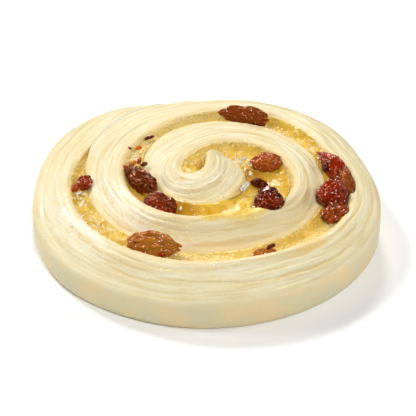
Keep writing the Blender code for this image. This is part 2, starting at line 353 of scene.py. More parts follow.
@dataclass(frozen=True)
class Coil:
    """The roll's plan and heights, the same as in the solids."""

    middle: Pair = (-0.6255, -0.2237)  # of the pastry, in the coil's own plan
    centre: Pair = (0.0, 3.0)
    tail_end: float = 103.0
    knob_end: float = 1159.0
    seam_from: float = 112.0
    seam_step: float = 45.0
    seam_radius: tuple[float, ...] = (40.0, 36.2, 35.2, 33.0, 32.6, 36.0, 33.9, 31.6, 26.3,
                                      22.1, 17.8, 15.6, 14.6, 16.7, 16.0, 12.6, 8.8, 7.0)
    seam_half: tuple[float, ...] = (0.2, 0.5, 2.6, 3.5, 3.4, 3.6, 1.5, 2.3, 1.0,
                                    2.0, 4.2, 4.3, 3.9, 6.8, 5.4, 3.6, 2.2, 1.6)
    seam_half_below: float = 2.0
    seam_opens: Pair = (146.0, 164.0)
    overlap: float = 0.45      # of the loose end and the next turn, where the seam is shut
    hollow_from: float = 832.0
    hollow: Pair = (-3.8, 6.4)
    hollow_size: Pair = (3.2, 4.4)
    hollow_turn: Pair = (160.0, 385.0)
    rim: Pair = (1.0, 0.2)
    rim_size: Pair = (46.6, 43.7)
    rim_z: float = 11.3
    rim_z_tilt: float = 2.0
    rim_z_turn: float = 20.0
    # Where the rim departs from an oval: angle, reach to both sides and share of its radius.
    rim_full: tuple[tuple[float, float, float], ...] = (
        (12, 30, -0.04), (60, 30, 0.016), (144, 58, 0.08), (215, 50, 0.035),
        (262, 28, 0.01), (315, 45, 0.002))
    tail_swell: float = 1.1
    tail_notch: float = 0.95
    tail_thin: float = 1.1
    tail_thin_to: float = 25.0
    tail_rim_thin: float = 1.6  # how much more of that the rim's side gets
    bulge: float = 1.0
    bulge_side: float = 0.6
    foot: float = 1.2
    face_z: float = 15.2
    face_tilt: float = 0.03
    face_dome: float = 2.6
    face_dome_at: float = 45.0
    drop: float = 2.7
    drop_tilt: float = 1.9
    knob_rise: float = 2.4
    knob_rise_outer: float = 1.4
    knob_from: float = 847.0
    knob_far_fall: float = 1.5  # of the knob's far side, below its peak
    knob_lip: float = 0.5
    peak_rise: float = 1.2
    peak_from: float = 1087.0

    @property
    def wall_span(self) -> Pair:
        """Where the outer edge turns from rim and skin to a wall along the seam."""
        return self.tail_end + 338, self.tail_end + 358

    def read(self, values: tuple[float, ...], theta: Array) -> Array:
        """A smooth curve through the seam's table values.

        Args:
            values: One value for each step of the seam.
            theta: Angles to read it at.

        Returns:
            The curve's value at each angle.
        """
        data, last = np.array(values), len(values) - 1
        place = np.clip((theta - self.seam_from) / self.seam_step, -0.2, last - 0.001)
        i = np.maximum(place.astype(int), 0)
        f = place - i
        p0, p1, p2, p3 = (data[np.clip(i + k, 0, last)] for k in (-1, 0, 1, 2))
        return 0.5 * (2 * p1 + (p2 - p0) * f + (2 * p0 - 5 * p1 + 4 * p2 - p3) * f ** 2
                      + (3 * p1 - p0 - 3 * p2 + p3) * f ** 3)

    def polar(self, radius: Array, theta: Array) -> Array:
        """Plan points at a distance and an angle from the coil's centre."""
        a = np.radians(theta)
        return np.stack([self.centre[0] + radius * np.cos(a),
                         self.centre[1] + radius * np.sin(a)], -1)

    def half_at(self, theta: Array, below: bool) -> Array:
        """Half width of the seam.

        Args:
            theta: Angles along the seam.
            below: Whether the underside is meant, and not the top.

        Returns:
            One half width for each angle.
        """
        half = np.maximum(self.read(self.seam_half, theta), 0.2)
        if not below:
            return mix(-self.overlap, half, blend(*self.seam_opens, theta))
        low = np.minimum(half * 0.75, self.seam_half_below)
        return mix(low, half, blend(750, 790, theta))

    def rim_point(self, theta: Array) -> Array:
        """Plan points where a ray from the coil's centre meets the rim.

        Args:
            theta: Angles of the rays.

        Returns:
            One point for each angle.
        """
        a = np.radians(theta)
        sx, sy = self.rim_size
        dx, dy = np.cos(a) / sx, np.sin(a) / sy
        ox, oy = (self.centre[0] - self.rim[0]) / sx, (self.centre[1] - self.rim[1]) / sy
        qa, qb, qc = dx * dx + dy * dy, ox * dx + oy * dy, ox * ox + oy * oy - 1
        full = sum(share * (1 - blend(0, reach, np.abs((theta - angle + 180) % 360 - 180)))
                   for angle, reach, share in self.rim_full)
        radius = (-qb + np.sqrt(qb * qb - qa * qc)) / qa * (1 + full)
        tail = (theta - self.tail_end) % 360
        radius = radius + self.tail_swell * blend(0, 22, tail) * (1 - blend(35, 80, tail))
        return self.polar(radius - self.tail_notch * blend(330, 360, tail), theta)

    def inner_edge(self, theta: Array, below: bool = False) -> Array:
        """Plan of the strip's inner edge, which ends in a ring round the hollow.

        Args:
            theta: Angles along the strip.
            below: Whether the underside's edge is meant.

        Returns:
            One point for each angle.
        """
        seam = self.polar(self.read(self.seam_radius, theta) + self.half_at(theta, below), theta)
        part = (theta - self.hollow_from) / (self.knob_end - self.hollow_from)
        a = np.radians(mix(*self.hollow_turn, part))
        ring = np.stack([self.hollow[0] + self.hollow_size[0] * np.cos(a),
                         self.hollow[1] + self.hollow_size[1] * np.sin(a)], -1)
        share = blend(self.hollow_from - 30, self.hollow_from + 50, theta)[..., None]
        return mix(seam, ring, share)

    def outer_edge(self, theta: Array, below: bool = False) -> Array:
        """Plan of the strip's outer edge, the rim at first and then the seam.

        Args:
            theta: Angles along the strip.
            below: Whether the underside's edge is meant.

        Returns:
            One point for each angle.
        """
        before = theta - 360
        seam = self.polar(self.read(self.seam_radius, before) - self.half_at(before, below),
                          theta)
        outside = (theta < self.tail_end + 360)[..., None]
        return np.where(outside, self.rim_point(theta), seam)

    def face_height(self, p: Array) -> Array:
        """Height of the cut face's main form."""
        far = np.linalg.norm(p, axis=-1)
        return (self.face_z + self.face_tilt * p[..., 1]
                - self.face_dome * (far / self.face_dome_at) ** 3)

    def face_drop(self, p: Array) -> Array:
        """Fall of the cut face across one turn."""
        return self.drop - self.drop_tilt * p[..., 1] / np.maximum(
            np.linalg.norm(p, axis=-1), 6.0)

    def knob_part(self, theta: Array) -> Array:
        """0 on the outer turns and 1 at the knob."""
        return blend(self.knob_from, self.knob_end - 20, theta)

    def tail_part(self, theta: Array) -> Array:
        """1 at the loose end and 0 soon after it."""
        return 1 - blend(self.tail_end, self.tail_end + self.tail_thin_to, theta)

    def inner_height(self, theta: Array) -> Array:
        """Height of the cut face along the strip's inner edge."""
        edge = self.inner_edge(theta)
        return (self.face_height(edge) + 0.25 * self.face_drop(edge)
                + self.knob_rise * self.knob_part(theta)
                - self.tail_thin * self.tail_part(theta))

    def outer_height(self, theta: Array) -> Array:
        """Height of the cut face along the strip's outer edge.

        Args:
            theta: Angles along the strip.

        Returns:
            One height for each angle.
        """
        edge, knob = self.outer_edge(theta), self.knob_part(theta)
        inside = self.face_height(edge) - 0.75 * self.face_drop(edge) * (1 - 0.5 * knob)
        inside += self.knob_rise_outer * knob
        inside += self.peak_rise * blend(self.peak_from, self.knob_end, theta)
        inside -= self.knob_far_fall * blend(1040, 1090, theta) * (1 - blend(1126, 1156, theta))
        inside += self.knob_lip * blend(1130, 1156, theta)
        shut = 1 - blend(0.5, 1.8, self.read(self.seam_half, theta - 360))
        shut *= (theta - 360 > self.tail_end) & (theta - 360 < 200)
        inside = mix(inside, self.inner_height(theta - 360), shut)
        rim = self.rim_z + self.rim_z_tilt * np.sin(np.radians(theta + self.rim_z_turn))
        rim -= self.tail_rim_thin * self.tail_thin * self.tail_part(theta)
        return mix(rim, inside, blend(*self.wall_span, theta))

    def place(self, plan: Array, z: Array) -> Array:
        """Plan points and heights as points of the frame, in metres."""
        flat = plan - np.array(self.middle)
        return np.concatenate([flat, z[..., None]], -1) * MM


@dataclass(frozen=True)
class Patch:
    """A soft oval on the pastry, in the frame's plan, where a finish changes."""

    x: float
    y: float
    length: float
    width: float
    turn: float
    strength: float

    def weight(self, plan: Array) -> Array:
        """How strongly it acts, fading to 0 at its rim.

        Args:
            plan: Plan points in millimetres.

        Returns:
            One share for each point.
        """
        a = math.radians(self.turn)
        dx, dy = plan[..., 0] - self.x, plan[..., 1] - self.y
        u = (dx * math.cos(a) + dy * math.sin(a)) / (self.length / 2)
        v = (-dx * math.sin(a) + dy * math.cos(a)) / (self.width / 2)
        return self.strength * (1 - blend(0.1, 1.0, np.sqrt(u * u + v * v)))


def patch_sum(patches: tuple[Patch, ...], plan: Array) -> Array:
    """All of the patches together, at most 1."""
    return np.clip(sum(p.weight(plan) for p in patches), 0, 1)


# Custard film on the dough, outside the seam.
FILM = (Patch(10.0, -13.6, 17, 13, 14, 1.0), Patch(-1.0, -13.5, 20, 5, -8, 0.5),
        Patch(30.0, -17.0, 22, 9, 42, 0.75), Patch(22.0, -21.5, 18, 6, 20, 0.6),
        Patch(-31.0, -8.0, 10, 5, -60, 0.7), Patch(-24.5, -16.5, 16, 7, -38, 0.8),
        Patch(2.0, -27.0, 34, 4, 2, 0.45), Patch(-33.0, 14.0, 5, 12, 20, 0.5),
        Patch(27.5, -26.5, 20, 5, 38, 0.5), Patch(23.0, 22.0, 16, 3, -32, 0.4),
        Patch(-1.0, 10.5, 10, 8, 20, 0.3))
# Where the cut face has thawed and shines, and is painted whiter as sheen.
MOIST = (Patch(-36.0, -14.0, 50, 14, -52, 1.0), Patch(-22.0, -8.0, 40, 12, -52, 0.8),
         Patch(-12.0, -22.0, 30, 12, -20, 0.7), Patch(4.0, -36.0, 60, 10, 4, 0.25),
         Patch(26.0, 24.0, 40, 20, -44, 0.35), Patch(-4.0, 0.0, 18, 10, 0, 0.5))
# Where ice sits on the dough.
FROST = (Patch(-33.0, -16.0, 34, 12, -50, 1.0), Patch(-25.0, -3.0, 18, 8, -60, 0.8),
         Patch(-12.0, -18.0, 24, 8, -14, 0.7), Patch(2.0, -34.0, 40, 8, 2, 0.45),
         Patch(24.0, 30.0, 20, 8, -36, 0.35), Patch(30.0, 12.0, 14, 8, -50, 0.3),
         Patch(0.0, 0.0, 90, 86, 0, 0.12))
# Dry flakes of cream on the custard.
FLAKES = (Patch(-21.0, 12.5, 11, 8, 70, 1.0), Patch(14.5, -29.5, 11, 5, 16, 0.6),
          Patch(-1.0, -32.5, 12, 4, 0, 0.7), Patch(-34.5, -5.0, 6, 5, 70, 0.8),
          Patch(-17.0, 19.5, 6, 4, 40, 0.5), Patch(-6.0, 11.0, 7, 4, 60, 0.4))


# Finishes.


class Paint:
    """A material, with the place on its piece and the marks that it reads."""

    def __init__(self, name: str, *marks: str) -> None:
        """Open the material.

        Args:
            name: The material's name.
            *marks: Names of the piece's marks that it reads.
        """
        self.material = bpy.data.materials.new(name)
        self.material.use_nodes = True
        self.tree = self.material.node_tree
        self.add = partial(add_node, self.tree)
        self.place = self.add(Kind.COORDINATES).outputs["Object"]
        self.marks = {m: self.add(Kind.MARK, attribute_name=m).outputs["Fac"] for m in marks}

    def layers(self, lowest: str, *above: tuple[Input, str | Node]) -> Node:
        """Lay colours over each other.

        Args:
            lowest: The lowest colour.
            *above: Share and colour of each layer over it, in turn.

        Returns:
            The node that gives the last colour.
        """
        result = colour(lowest)
        for share, tint in above:
            tint = colour(tint) if isinstance(tint, str) else tint
            result = self.add(Kind.MIX, Factor=share, A=result, B=tint)
        return result

    def close(self, **sockets: Input) -> Material:
        """Fill the shader's own sockets, and give the material."""
        fill(self.tree, self.tree.nodes["Principled BSDF"], sockets)
        return self.material


@dataclass(frozen=True)
class RawDough:
    """Raw laminated butter dough, rolled and cut: matt cream with yellower, buttery grooves that
    are also painted darker as shade.
    """

    crest: str = "D9C692"
    groove: str = "CDB276"
    pale: str = "E4DCBE"
    skin: str = "CDC5A1"
    butter: str = "DCC596"
    stain: str = "ECCF88"
    film: str = "E4B850"
    # Painted sheen: the whiter colour of the shining moist patches.
    wet_sheen: str = "F4EEDC"

    def build(self) -> Material:
        """The dough's material.

        Returns:
            A soft, slightly translucent finish with moist patches.
        """
        paint = Paint("raw_laminated_dough", "groove", "wall", "stain", "film", "moist", "along",
                      "across")
        add, place, marks = paint.add, paint.place, paint.marks
        # Butter and flour lie in streaks along the strip, 0.8 mm apart and 15 mm long.
        lie = add(Kind.XYZ, add(Kind.TIMES, marks["along"], 0.065),
                  add(Kind.TIMES, marks["across"], 0.85))
        streak = add(Kind.NOISE, lie, Scale=1.0, Detail=3.0, Roughness=0.62)
        pale = add(Kind.RANGE, streak, 0.3, 0.72)
        # The grooves lie low in the relief: butter makes them yellower, and their darker tone is
        # painted shade.
        deep = add(Kind.TIMES, marks["groove"], 0.55)
        # Butter shows through the skin in blotches 8 mm apart.
        dapple = add(Kind.NOISE, place, Scale=125.0, Detail=3.0)
        hide = paint.layers(self.skin, (add(Kind.RANGE, dapple, 0.38, 0.64), self.butter))
        # The film breaks up at its rim, 1.5 mm blotches.
        blotch = add(Kind.NOISE, place, Scale=650.0, Detail=4.0)
        reach = add(Kind.PLUS, marks["film"], add(Kind.TIMES_PLUS, blotch, 0.55, -0.27))
        filmed = add(Kind.RANGE, reach, 0.1, 0.85, 0.0, 0.85)
        # Thawed patches shine, and are painted whiter as sheen, in streaky spots 1.5 mm across.
        spot = add(Kind.NOISE, place, Scale=620.0, Detail=3.0)
        wet_sheen = add(Kind.RANGE, add(Kind.PLUS, spot, streak), 0.86, 1.0)
        wet_sheen = add(Kind.TIMES, wet_sheen, marks["moist"])
        tint = paint.layers(self.crest, (pale, self.pale), (deep, self.groove),
                            (marks["wall"], hide), (marks["stain"], self.stain),
                            (filmed, self.film), (add(Kind.TIMES, wet_sheen, 0.6), self.wet_sheen))
        # The face is pitted every 0.7 mm, and ribbed more finely than its layers.
        grain = add(Kind.NOISE, place, Scale=1400.0, Detail=4.0)
        ribs = add(Kind.TIMES_PLUS, streak, 1.3, grain)
        return paint.close(
            Base_Color=tint, Roughness=add(Kind.RANGE, wet_sheen, 0.0, 0.8, 0.55, 0.1), IOR=1.42,
            Normal=add(Kind.BUMP, Height=ribs, Strength=0.6, Distance=0.00028),
            Subsurface_Weight=0.3, Subsurface_Radius=(1.0, 0.62, 0.3),
            Subsurface_Scale=1.6 * MM)


@dataclass(frozen=True)
class BakersCustard:
    """Cooked, cold-set pastry cream: golden, moist and a little translucent."""

    name: str = "set_pastry_cream"
    deep: str = "C69A20"
    light: str = "E2BA4E"
    dry: str = "E2CA80"
    # Painted shade in the deep pools and the cavity beside the knob.
    amber: str = "A86C0A"
    thin: str = "DCC68A"
    depth: float = 0.3         # share of the light that goes in and comes out again

    def build(self) -> Material:
        """The custard's material.

        Returns:
            A golden finish, glossier where it is wet.
        """
        paint = Paint(self.name, "dry", "thin")
        add, place, dry = paint.add, paint.place, paint.marks["dry"]
        # Clots of 3 mm, lighter than what lies between them.
        clot = add(Kind.NOISE, place, Scale=330.0, Detail=4.0)
        # Below 0 the dry mark paints deep pools darker amber, as shade, and a thin coat lets the
        # dough's colour through.
        pool_shade = add(Kind.TIMES, dry, -1.0, use_clamp=True)
        ragged = add(Kind.PLUS, paint.marks["thin"], add(Kind.TIMES_PLUS, clot, 0.9, -0.45))
        tint = paint.layers(self.deep, (add(Kind.RANGE, clot, 0.36, 0.64), self.light),
                            (dry, self.dry), (pool_shade, self.amber),
                            (add(Kind.RANGE, ragged, 0.3, 0.9), self.thin))
        # Grains of set cream, 1 mm.
        grain = add(Kind.NOISE, place, Scale=900.0, Detail=1.0)
        return paint.close(
            Base_Color=tint, Roughness=add(Kind.RANGE, dry, 0.0, 1.0, 0.1, 0.6), IOR=1.36,
            Normal=add(Kind.BUMP, Height=grain, Strength=0.6, Distance=0.0005),
            Subsurface_Weight=self.depth, Subsurface_Radius=(1.0, 0.8, 0.25),
            Subsurface_Scale=1.6 * MM)


@dataclass(frozen=True)
class DriedGrapeSkin:
    """Sun-dried grape: wrinkled red-brown skin, glossy, amber where light comes through."""

    # Painted shade in the creases, with a random mottle.
    dark: str = "3C0701"
    skin: str = "8C2204"
    olive: str = "9C6820"
    # Painted glow of light coming through the undersides and thin ends.
    amber: str = "CC6A1C"
    sheen: str = "FF9870"
    # Sugar bloom, and painted glints.
    bloom_and_glint: str = "E0B4A4"

    def build(self) -> Material:
        """The raisins' material.

        Returns:
            A dark glossy finish that turns amber, a painted glow of light through the raisin, by
            the piece's own marks.
        """
        paint = Paint("dried_grape_skin", "crest", "glow", "sugar", "tone")
        add, place, marks = paint.add, paint.place, paint.marks
        mottle = add(Kind.NOISE, place, Scale=420.0, Detail=3.0)
        share = add(Kind.RANGE, add(Kind.TIMES, marks["crest"], mottle), 0.26, 0.54)
        # The creases are painted dark, as shade, under both other colours.
        clear = add(Kind.RANGE, share, To_Min=0.45)
        olive, amber = (add(Kind.TIMES, marks[name], clear) for name in ("tone", "glow"))
        tint = paint.layers(self.dark, (share, self.skin), (olive, self.olive),
                            (amber, self.amber), (marks["sugar"], self.bloom_and_glint))
        # Fine wrinkles between the folds, 0.5 mm apart.
        crease = add(Kind.NOISE, place, Scale=1100.0, Detail=0.5)
        return paint.close(
            Base_Color=tint, Roughness=0.05, IOR=1.5, Specular_Tint=colour(self.sheen),
            Normal=add(Kind.BUMP, Height=crease, Strength=0.12, Distance=0.00025),
            Specular_IOR_Level=0.9, Subsurface_Weight=0.2, Subsurface_Radius=(1.0, 0.3, 0.08),
            Subsurface_Scale=1.2 * MM)


@dataclass(frozen=True)
class WaterIce:
    """Freezer ice: clear to white grains with hard glints."""

    name: str = "clear_water_ice"
    clear: float = 0.7         # share of the light that goes straight through
    tint: str = "FBFBF4"

    def build(self) -> Material:
        """The ice's material.

        Returns:
            A glassy, faintly milky finish.
        """
        paint = Paint(self.name)
        milky = paint.add(Kind.NOISE, paint.place, Scale=900.0, Detail=2.0)
        return paint.close(
            Base_Color=colour(self.tint), IOR=1.31, Transmission_Weight=self.clear,
            Roughness=paint.add(Kind.RANGE, milky, 0.0, 1.0, 0.05, 0.35))


@dataclass(frozen=True)
class StudioPaper:
    """Matt white background paper."""

    tint: str = "F7F7F6"

    def build(self) -> Material:
        """The floor's material.

        Returns:
            A flat white with a faint tooth.
        """
        paint = Paint("white_background_paper")
        tooth = paint.add(Kind.NOISE, paint.place, Scale=1500.0)
        return paint.close(
            Base_Color=colour(self.tint), Roughness=0.9,
            Normal=paint.add(Kind.BUMP, Height=tooth, Strength=0.05, Distance=0.0001))


# The dough.


@dataclass
class DoughStrip:
    """The strip of laminated dough, wound from its loose end to the knob."""

    coil: Coil
    spacing: float = 0.44      # between rings, along the strip's middle
    tail_rings: int = 9        # of the rounded loose end
    tail_low: float = 3.0      # how far its tip lies below the face
    cap_rings: int = 14        # of the knob's sloping end
    cap_reach: Pair = (-4.7, -0.6)
    cap_fall: float = 0.42     # share of its height that it loses
    cap_stain: float = 0.3
    peak_rings: int = 8        # over which the knob's top narrows to its peak
    peak_narrow: float = 0.45
    wall_points: int = 9
    crest_points: int = 7
    face_points: int = 54
    skin_points: int = 12
    under_points: int = 3
    crest_wide: float = 1.5    # width of the rounding at the seam's edge
    crest_fall: float = 1.4    # its height where the seam is open
    shut_fall: float = 0.2     # and where it is shut
    broad_turn: tuple[Pair, Pair] = ((596.0, 622.0), (694.0, 716.0))  # a broader shoulder
    broad_wide: float = 2.6
    broad_fall: float = 2.1
    filled: Pair = (150.0, 172.0)  # where custard starts to lie in the seam
    soak: float = 1.1          # how far it has soaked in beside the seam
    broad_soak: float = 3.2
    layer: float = 1.7         # thickness of one fold of layers
    ridge: float = 0.2         # how far its edge stands up
    broad: float = 1.1         # height of the ridges that several folds make
    fine: float = 0.42         # height of the lines between them
    wander: float = 0.8        # how far the lines stray sideways
    crumble: float = 1.5       # height of the crumbs at the seam's edge
    seed: float = 3.7

    def angles(self) -> Array:
        """Angles of the rings, evenly spaced along the strip.

        Returns:
            The angles, with the last one given again for each ring of the knob's end.
        """
        coil = self.coil
        fine = np.arange(coil.tail_end + 3, coil.knob_end, 0.25)
        middle = (coil.inner_edge(fine) + coil.outer_edge(fine)) / 2
        steps = np.linalg.norm(np.diff(middle, axis=0), axis=1)
        run = np.concatenate([[0], np.cumsum(np.maximum(steps, 0.06))])
        rings = np.interp(np.arange(0, run[-1], self.spacing), run, fine)
        return np.concatenate([rings, np.full(self.cap_rings, rings[-1])])

    def rings(self, theta: Array) -> tuple[Array, dict[str, Array]]:
        """Points of every section and the marks that they carry.

        Args:
            theta: Angles of the sections.

        Returns:
            Points in metres, rings by points by three, and each mark's values.
        """
        coil = self.coil
        inner, outer = coil.inner_edge(theta), coil.outer_edge(theta)
        inner_low, outer_low = coil.inner_edge(theta, True), coil.outer_edge(theta, True)
        width = np.linalg.norm(outer - inner, axis=1)
        across = (outer - inner) / width[:, None]
        z_in, z_out = coil.inner_height(theta), coil.outer_height(theta)
        crest = np.minimum(self.crest_wide, 0.24 * width)
        # The second turn's shoulder is broad where custard has run down it, at the front.
        opens, ends = self.broad_turn
        front = blend(*opens, theta) * (1 - blend(*ends, theta))
        shoulder = mix(crest, np.minimum(self.broad_wide, 0.32 * width), front)
        open_in, open_out = (blend(0.3, 1.4, coil.read(coil.seam_half, theta - turn))
                             for turn in (0, 360))
        shut_in, shut_out = (1 - blend(*coil.seam_opens, theta - turn) for turn in (0, 360))
        shut_out = shut_out * (theta > coil.tail_end + 358)
        # Where the loose end lies on the next turn, its edge is the upper one.
        fall_in = mix(mix(self.shut_fall, self.crest_fall, open_in), 0.3, shut_in)
        fall_out = mix(mix(mix(self.shut_fall, self.crest_fall, open_out), self.broad_fall,
                           front), 0.8, shut_out)
        soak = mix(self.soak, self.broad_soak, front)
        knob = coil.knob_part(theta)
        walled = blend(*coil.wall_span, theta)
        filled_in = blend(*self.filled, theta)
        filled_out = blend(*self.filled, theta - 360) * walled
        plans, heights = [], []
        marks: dict[str, list[Array]] = {n: [] for n in ("across", "face", "wall", "stain")}

        def put(plan: Array, z: Array, *carried: Array | float) -> None:
            """Add one point to every section, with its marks."""
            plans.append(plan)
            heights.append(z)
            for values, value in zip(marks.values(), carried):
                values.append(np.broadcast_to(value, theta.shape))

        for t in np.arange(self.wall_points) / self.wall_points:
            z = t * (z_in - fall_in)
            put(mix(inner_low, inner, (z / z_in)[:, None]), z, -(z_in - z) * 0.6, 0.0, 0.0,
                filled_in * 0.9)
        for k in range(self.crest_points):
            a = math.pi / 2 * k / self.crest_points
            shift = crest * (1 - math.cos(a))
            put(inner + across * shift[:, None], z_in - fall_in * (1 - math.sin(a)),
                shift - crest, (0.25 + 0.75 * k / self.crest_points) * (1 - 0.9 * shut_in), 0.0,
                filled_in * (0.9 - 0.55 * k / self.crest_points))
        for k in range(self.face_points):
            u = k / (self.face_points - 1)
            shift = mix(crest, width - shoulder, u)
            from_in, from_out = shift, width - shift
            edge = np.exp(-from_in / 1.1) * filled_in + np.exp(-from_out / soak) * filled_out
            calm = (shut_in * np.exp(-(from_in / 1.2) ** 2)
                    + shut_out * np.exp(-(from_out / 1.2) ** 2))
            put(inner + across * shift[:, None], mix(z_in, z_out, u ** 1.25), shift,
                (1.0 - 0.9 * calm) * (1 - 0.45 * knob), 0.0, np.clip(edge * 0.55, 0, 1))
        swell = coil.bulge - coil.bulge_side * np.cos(np.radians(theta))
        for k in range(self.skin_points):
            t = (k + 1) / self.skin_points
            # The skin's height and its bulge, which is widest at 0.45 of the height.
            high = 0.45 + 0.55 * math.cos(t * math.pi) if t < 0.5 else 0.45 - 0.45 * math.sin(
                (t - 0.5) * math.pi)
            level = 1 - ((high - 0.45) / (0.55 if high > 0.45 else 0.45)) ** 2
            pull = coil.foot * max(0.0, 1 - high / 0.12) ** 2
            foot = np.minimum(pull, 0.3 * width)
            skin = outer + across * (swell * math.sqrt(max(level, 0.0)) - foot)[:, None]
            # The seam's side: rounded at the top, straight below.
            if t < 0.34:
                a = math.pi / 2 * (1 - t / 0.34)
                side = outer - across * (shoulder * (1 - math.cos(a)))[:, None]
                side_z = z_out - fall_out * (1 - math.sin(a))
            else:
                down = (z_out - fall_out) * (1 - t) / 0.66
                side, side_z = mix(outer_low, outer, (down / z_out)[:, None]), down
            put(mix(skin, side, walled[:, None]), mix(z_out * high, side_z, walled),
                width + t * 4, max(0.0, 0.5 - t * 4), (1 - walled) * min(1.0, t * 3),
                filled_out * min(0.9, 0.35 + 1.4 * t))
        edge = plans[-1]
        for k in range(self.under_points):
            t = (k + 1) / (self.under_points + 1)
            put(mix(edge, inner_low, t), theta * 0, width * (1 - t), 0.0, 1.0 - walled, 0.0)
        points = coil.place(np.stack(plans, 1), np.stack(heights, 1))
        return points, {name: np.stack(rows, 1) for name, rows in marks.items()}

    def shaped_ends(self, points: Array) -> Array:
        """Round the loose end, and slope the knob's end down into the hollow.

        Args:
            points: Every section, in metres.

        Returns:
            The points with both ends shaped.
        """
        out = points.copy()
        for k in range(self.tail_rings):
            t = k / self.tail_rings
            ring = out[k]
            middle, top = ring.mean(0), ring[:, 2].max()
            ring[:, :2] = mix(middle[:2], ring[:, :2], 0.25 + 0.75 * math.sqrt(1 - (1 - t) ** 2))
            ring[:, 2] *= 1 - (1 - t) ** 2 * self.tail_low * MM / top
        onward, first = np.array(self.cap_reach) * MM, len(points) - self.cap_rings
        for k in range(-self.peak_rings, self.cap_rings):
            t = max(0.0, (k + 1) / self.cap_rings)
            ring = out[first + k]
            middle, top = (ring.min(0) + ring.max(0)) / 2, ring[:, 2].max()
            # The top narrows to a peak, and then the whole section shrinks and falls.
            high = np.clip(ring[:, 2] / top, 0, 1)
            peak = min(1.0, (k + 1 + self.peak_rings) / self.peak_rings)
            pull = 1 - self.peak_narrow * peak * blend(0.55, 1.0, high)
            pull *= 1 - 0.6 * t ** 2
            ring[:, :2] = mix(middle[:2], ring[:, :2], pull[:, None]) + onward * t
            ring[:, 2] *= 1 - (self.cap_fall * t ** 1.5)
        return out

    def graph(self) -> NodeTree:
        """The tree that raises the laminations on the cut face.

        Returns:
            The tree, which also marks the grooves between them.
        """
        graph = Graph("laminations", Layer=self.layer, Ridge=self.ridge, Broad=self.broad,
                      Fine=self.fine, Wander=self.wander, Crumble=self.crumble, Seed=self.seed)
        add, sizes = graph.add, graph.sizes
        along, across, face, knob, crumb = (
            add(Kind.READ, name) for name in ("along", "across", "face", "knob", "crumb"))

        def lookup(run: float, y: Input, rise: float, shift: float, detail: float = 2.0) -> Node:
            """Noise in the strip's own plane, run and rise to the millimetre."""
            where = add(Kind.XYZ, add(Kind.TIMES, along, run), add(Kind.TIMES, y, rise),
                        add(Kind.PLUS, sizes["Seed"], shift))
            return add(Kind.NOISE, where, Scale=1.0, Detail=detail)

        def swing(value: Node, amount: Input) -> Node:
            """A noise turned into a height that goes both ways."""
            return add(Kind.TIMES, add(Kind.PLUS, value, -0.5), amount)

        # The lines wander: slow over 25 mm, quick over 6 mm, and hardly on the knob.
        stray = add(Kind.PLUS, swing(lookup(0.04, across, 0.1, 0.0), 4.2),
                    swing(lookup(0.17, across, 0.35, 9.0), 0.4))
        for share in (sizes["Wander"], add(Kind.TIMES_PLUS, knob, -0.75, 1.0)):
            stray = add(Kind.TIMES, stray, share)
        moved = add(Kind.PLUS, across, stray)
        part = add(Kind.FRACTION, add(Kind.OVER, moved, sizes["Layer"]))
        # Each fold's edge rises quickly and falls away slowly.
        ridge = add(Kind.TIMES_PLUS, part, -0.9, add(Kind.SMOOTH_RANGE, part, 0.0, 0.4))
        tall = add(Kind.RANGE, lookup(0.09, across, 0.3, 21.0), 0.36, 0.66, 0.0, 1.6)
        for share in (tall, sizes["Ridge"]):
            ridge = add(Kind.TIMES, ridge, share)
        lines = lookup(0.045, moved, 1.15, 37.0, 3.0)
        height = swing(lookup(0.022, moved, 0.4, 3.0, 1.0), sizes["Broad"])
        for more in (swing(lines, sizes["Fine"]), ridge,
                     swing(lookup(0.07, across, 0.12, 51.0), 1.2)):
            height = add(Kind.PLUS, height, more)
        for share in (face, MM):
            height = add(Kind.TIMES, height, share)
        # The torn edges beside the custard are crumbly, 1 mm.
        grain = add(Kind.NOISE, add(Kind.PLACE), Scale=1100.0, Detail=2.0)
        rough = swing(grain, sizes["Crumble"])
        for share in (crumb, MM):
            rough = add(Kind.TIMES, rough, share)
        out = add(Kind.VECTOR_SCALE, add(Kind.NORMAL), Scale=rough)
        raised = add(Kind.MOVE, sizes["Geometry"],
                     Offset=add(Kind.VECTOR_PLUS, add(Kind.XYZ, Z=height), out))
        # Grooves are marked for the finish, which paints them yellower as butter and darker as
        # shade.
        groove = add(Kind.SMOOTH_RANGE, lines, 0.5, 0.34)
        groove = add(Kind.TIMES, groove, face, use_clamp=True)
        return graph.close(add(Kind.STORE, raised, Name="groove", Value=groove))

    def build(self, finish: Material) -> Object:
        """Make the strip.

        Args:
            finish: The dough's material.

        Returns:
            The strip, which stands for the solid of the same name.
        """
        theta = self.angles()
        points, marks = self.rings(theta)
        points = self.shaped_ends(points)
        cap = slice(-self.cap_rings, None)
        stain, count = marks["stain"], points.shape[1]
        stain[cap] = np.maximum(stain[cap],
                                np.linspace(0, self.cap_stain, self.cap_rings)[:, None])
        clean = blend(-50, -5, theta - self.coil.knob_end)
        marks["stain"] = stain * (1 - 0.75 * clean)[:, None]
        mesh = grid_mesh("dough", points)
        plan, top = points[..., :2] / MM, marks["face"] > 0.2
        crumb = marks["stain"] * (points[..., 2] > 9.5 * MM) * (marks["wall"] < 0.1)
        # Custard clings to the knob's sloping end too.
        film = patch_sum(FILM, plan) * top
        film[cap] = np.maximum(film[cap], self.cap_stain)
        marks |= {
            "along": np.repeat((np.arange(len(theta)) * self.spacing)[:, None], count, 1),
            "knob": np.repeat(self.coil.knob_part(theta)[:, None], count, 1),
            "crumb": crumb ** 2, "film": film, "frost": patch_sum(FROST, plan) * top,
            "moist": patch_sum(MOIST, plan) * top}
        for name, values in marks.items():
            put_mark(mesh, name, values)
        piece = new_piece("laminated_dough", mesh)
        run_graph(piece, self.graph(), finish, {"Seed": self.seed})
        self.nest(piece)
        return hand_over(piece, Slot.DOUGH, "dough")

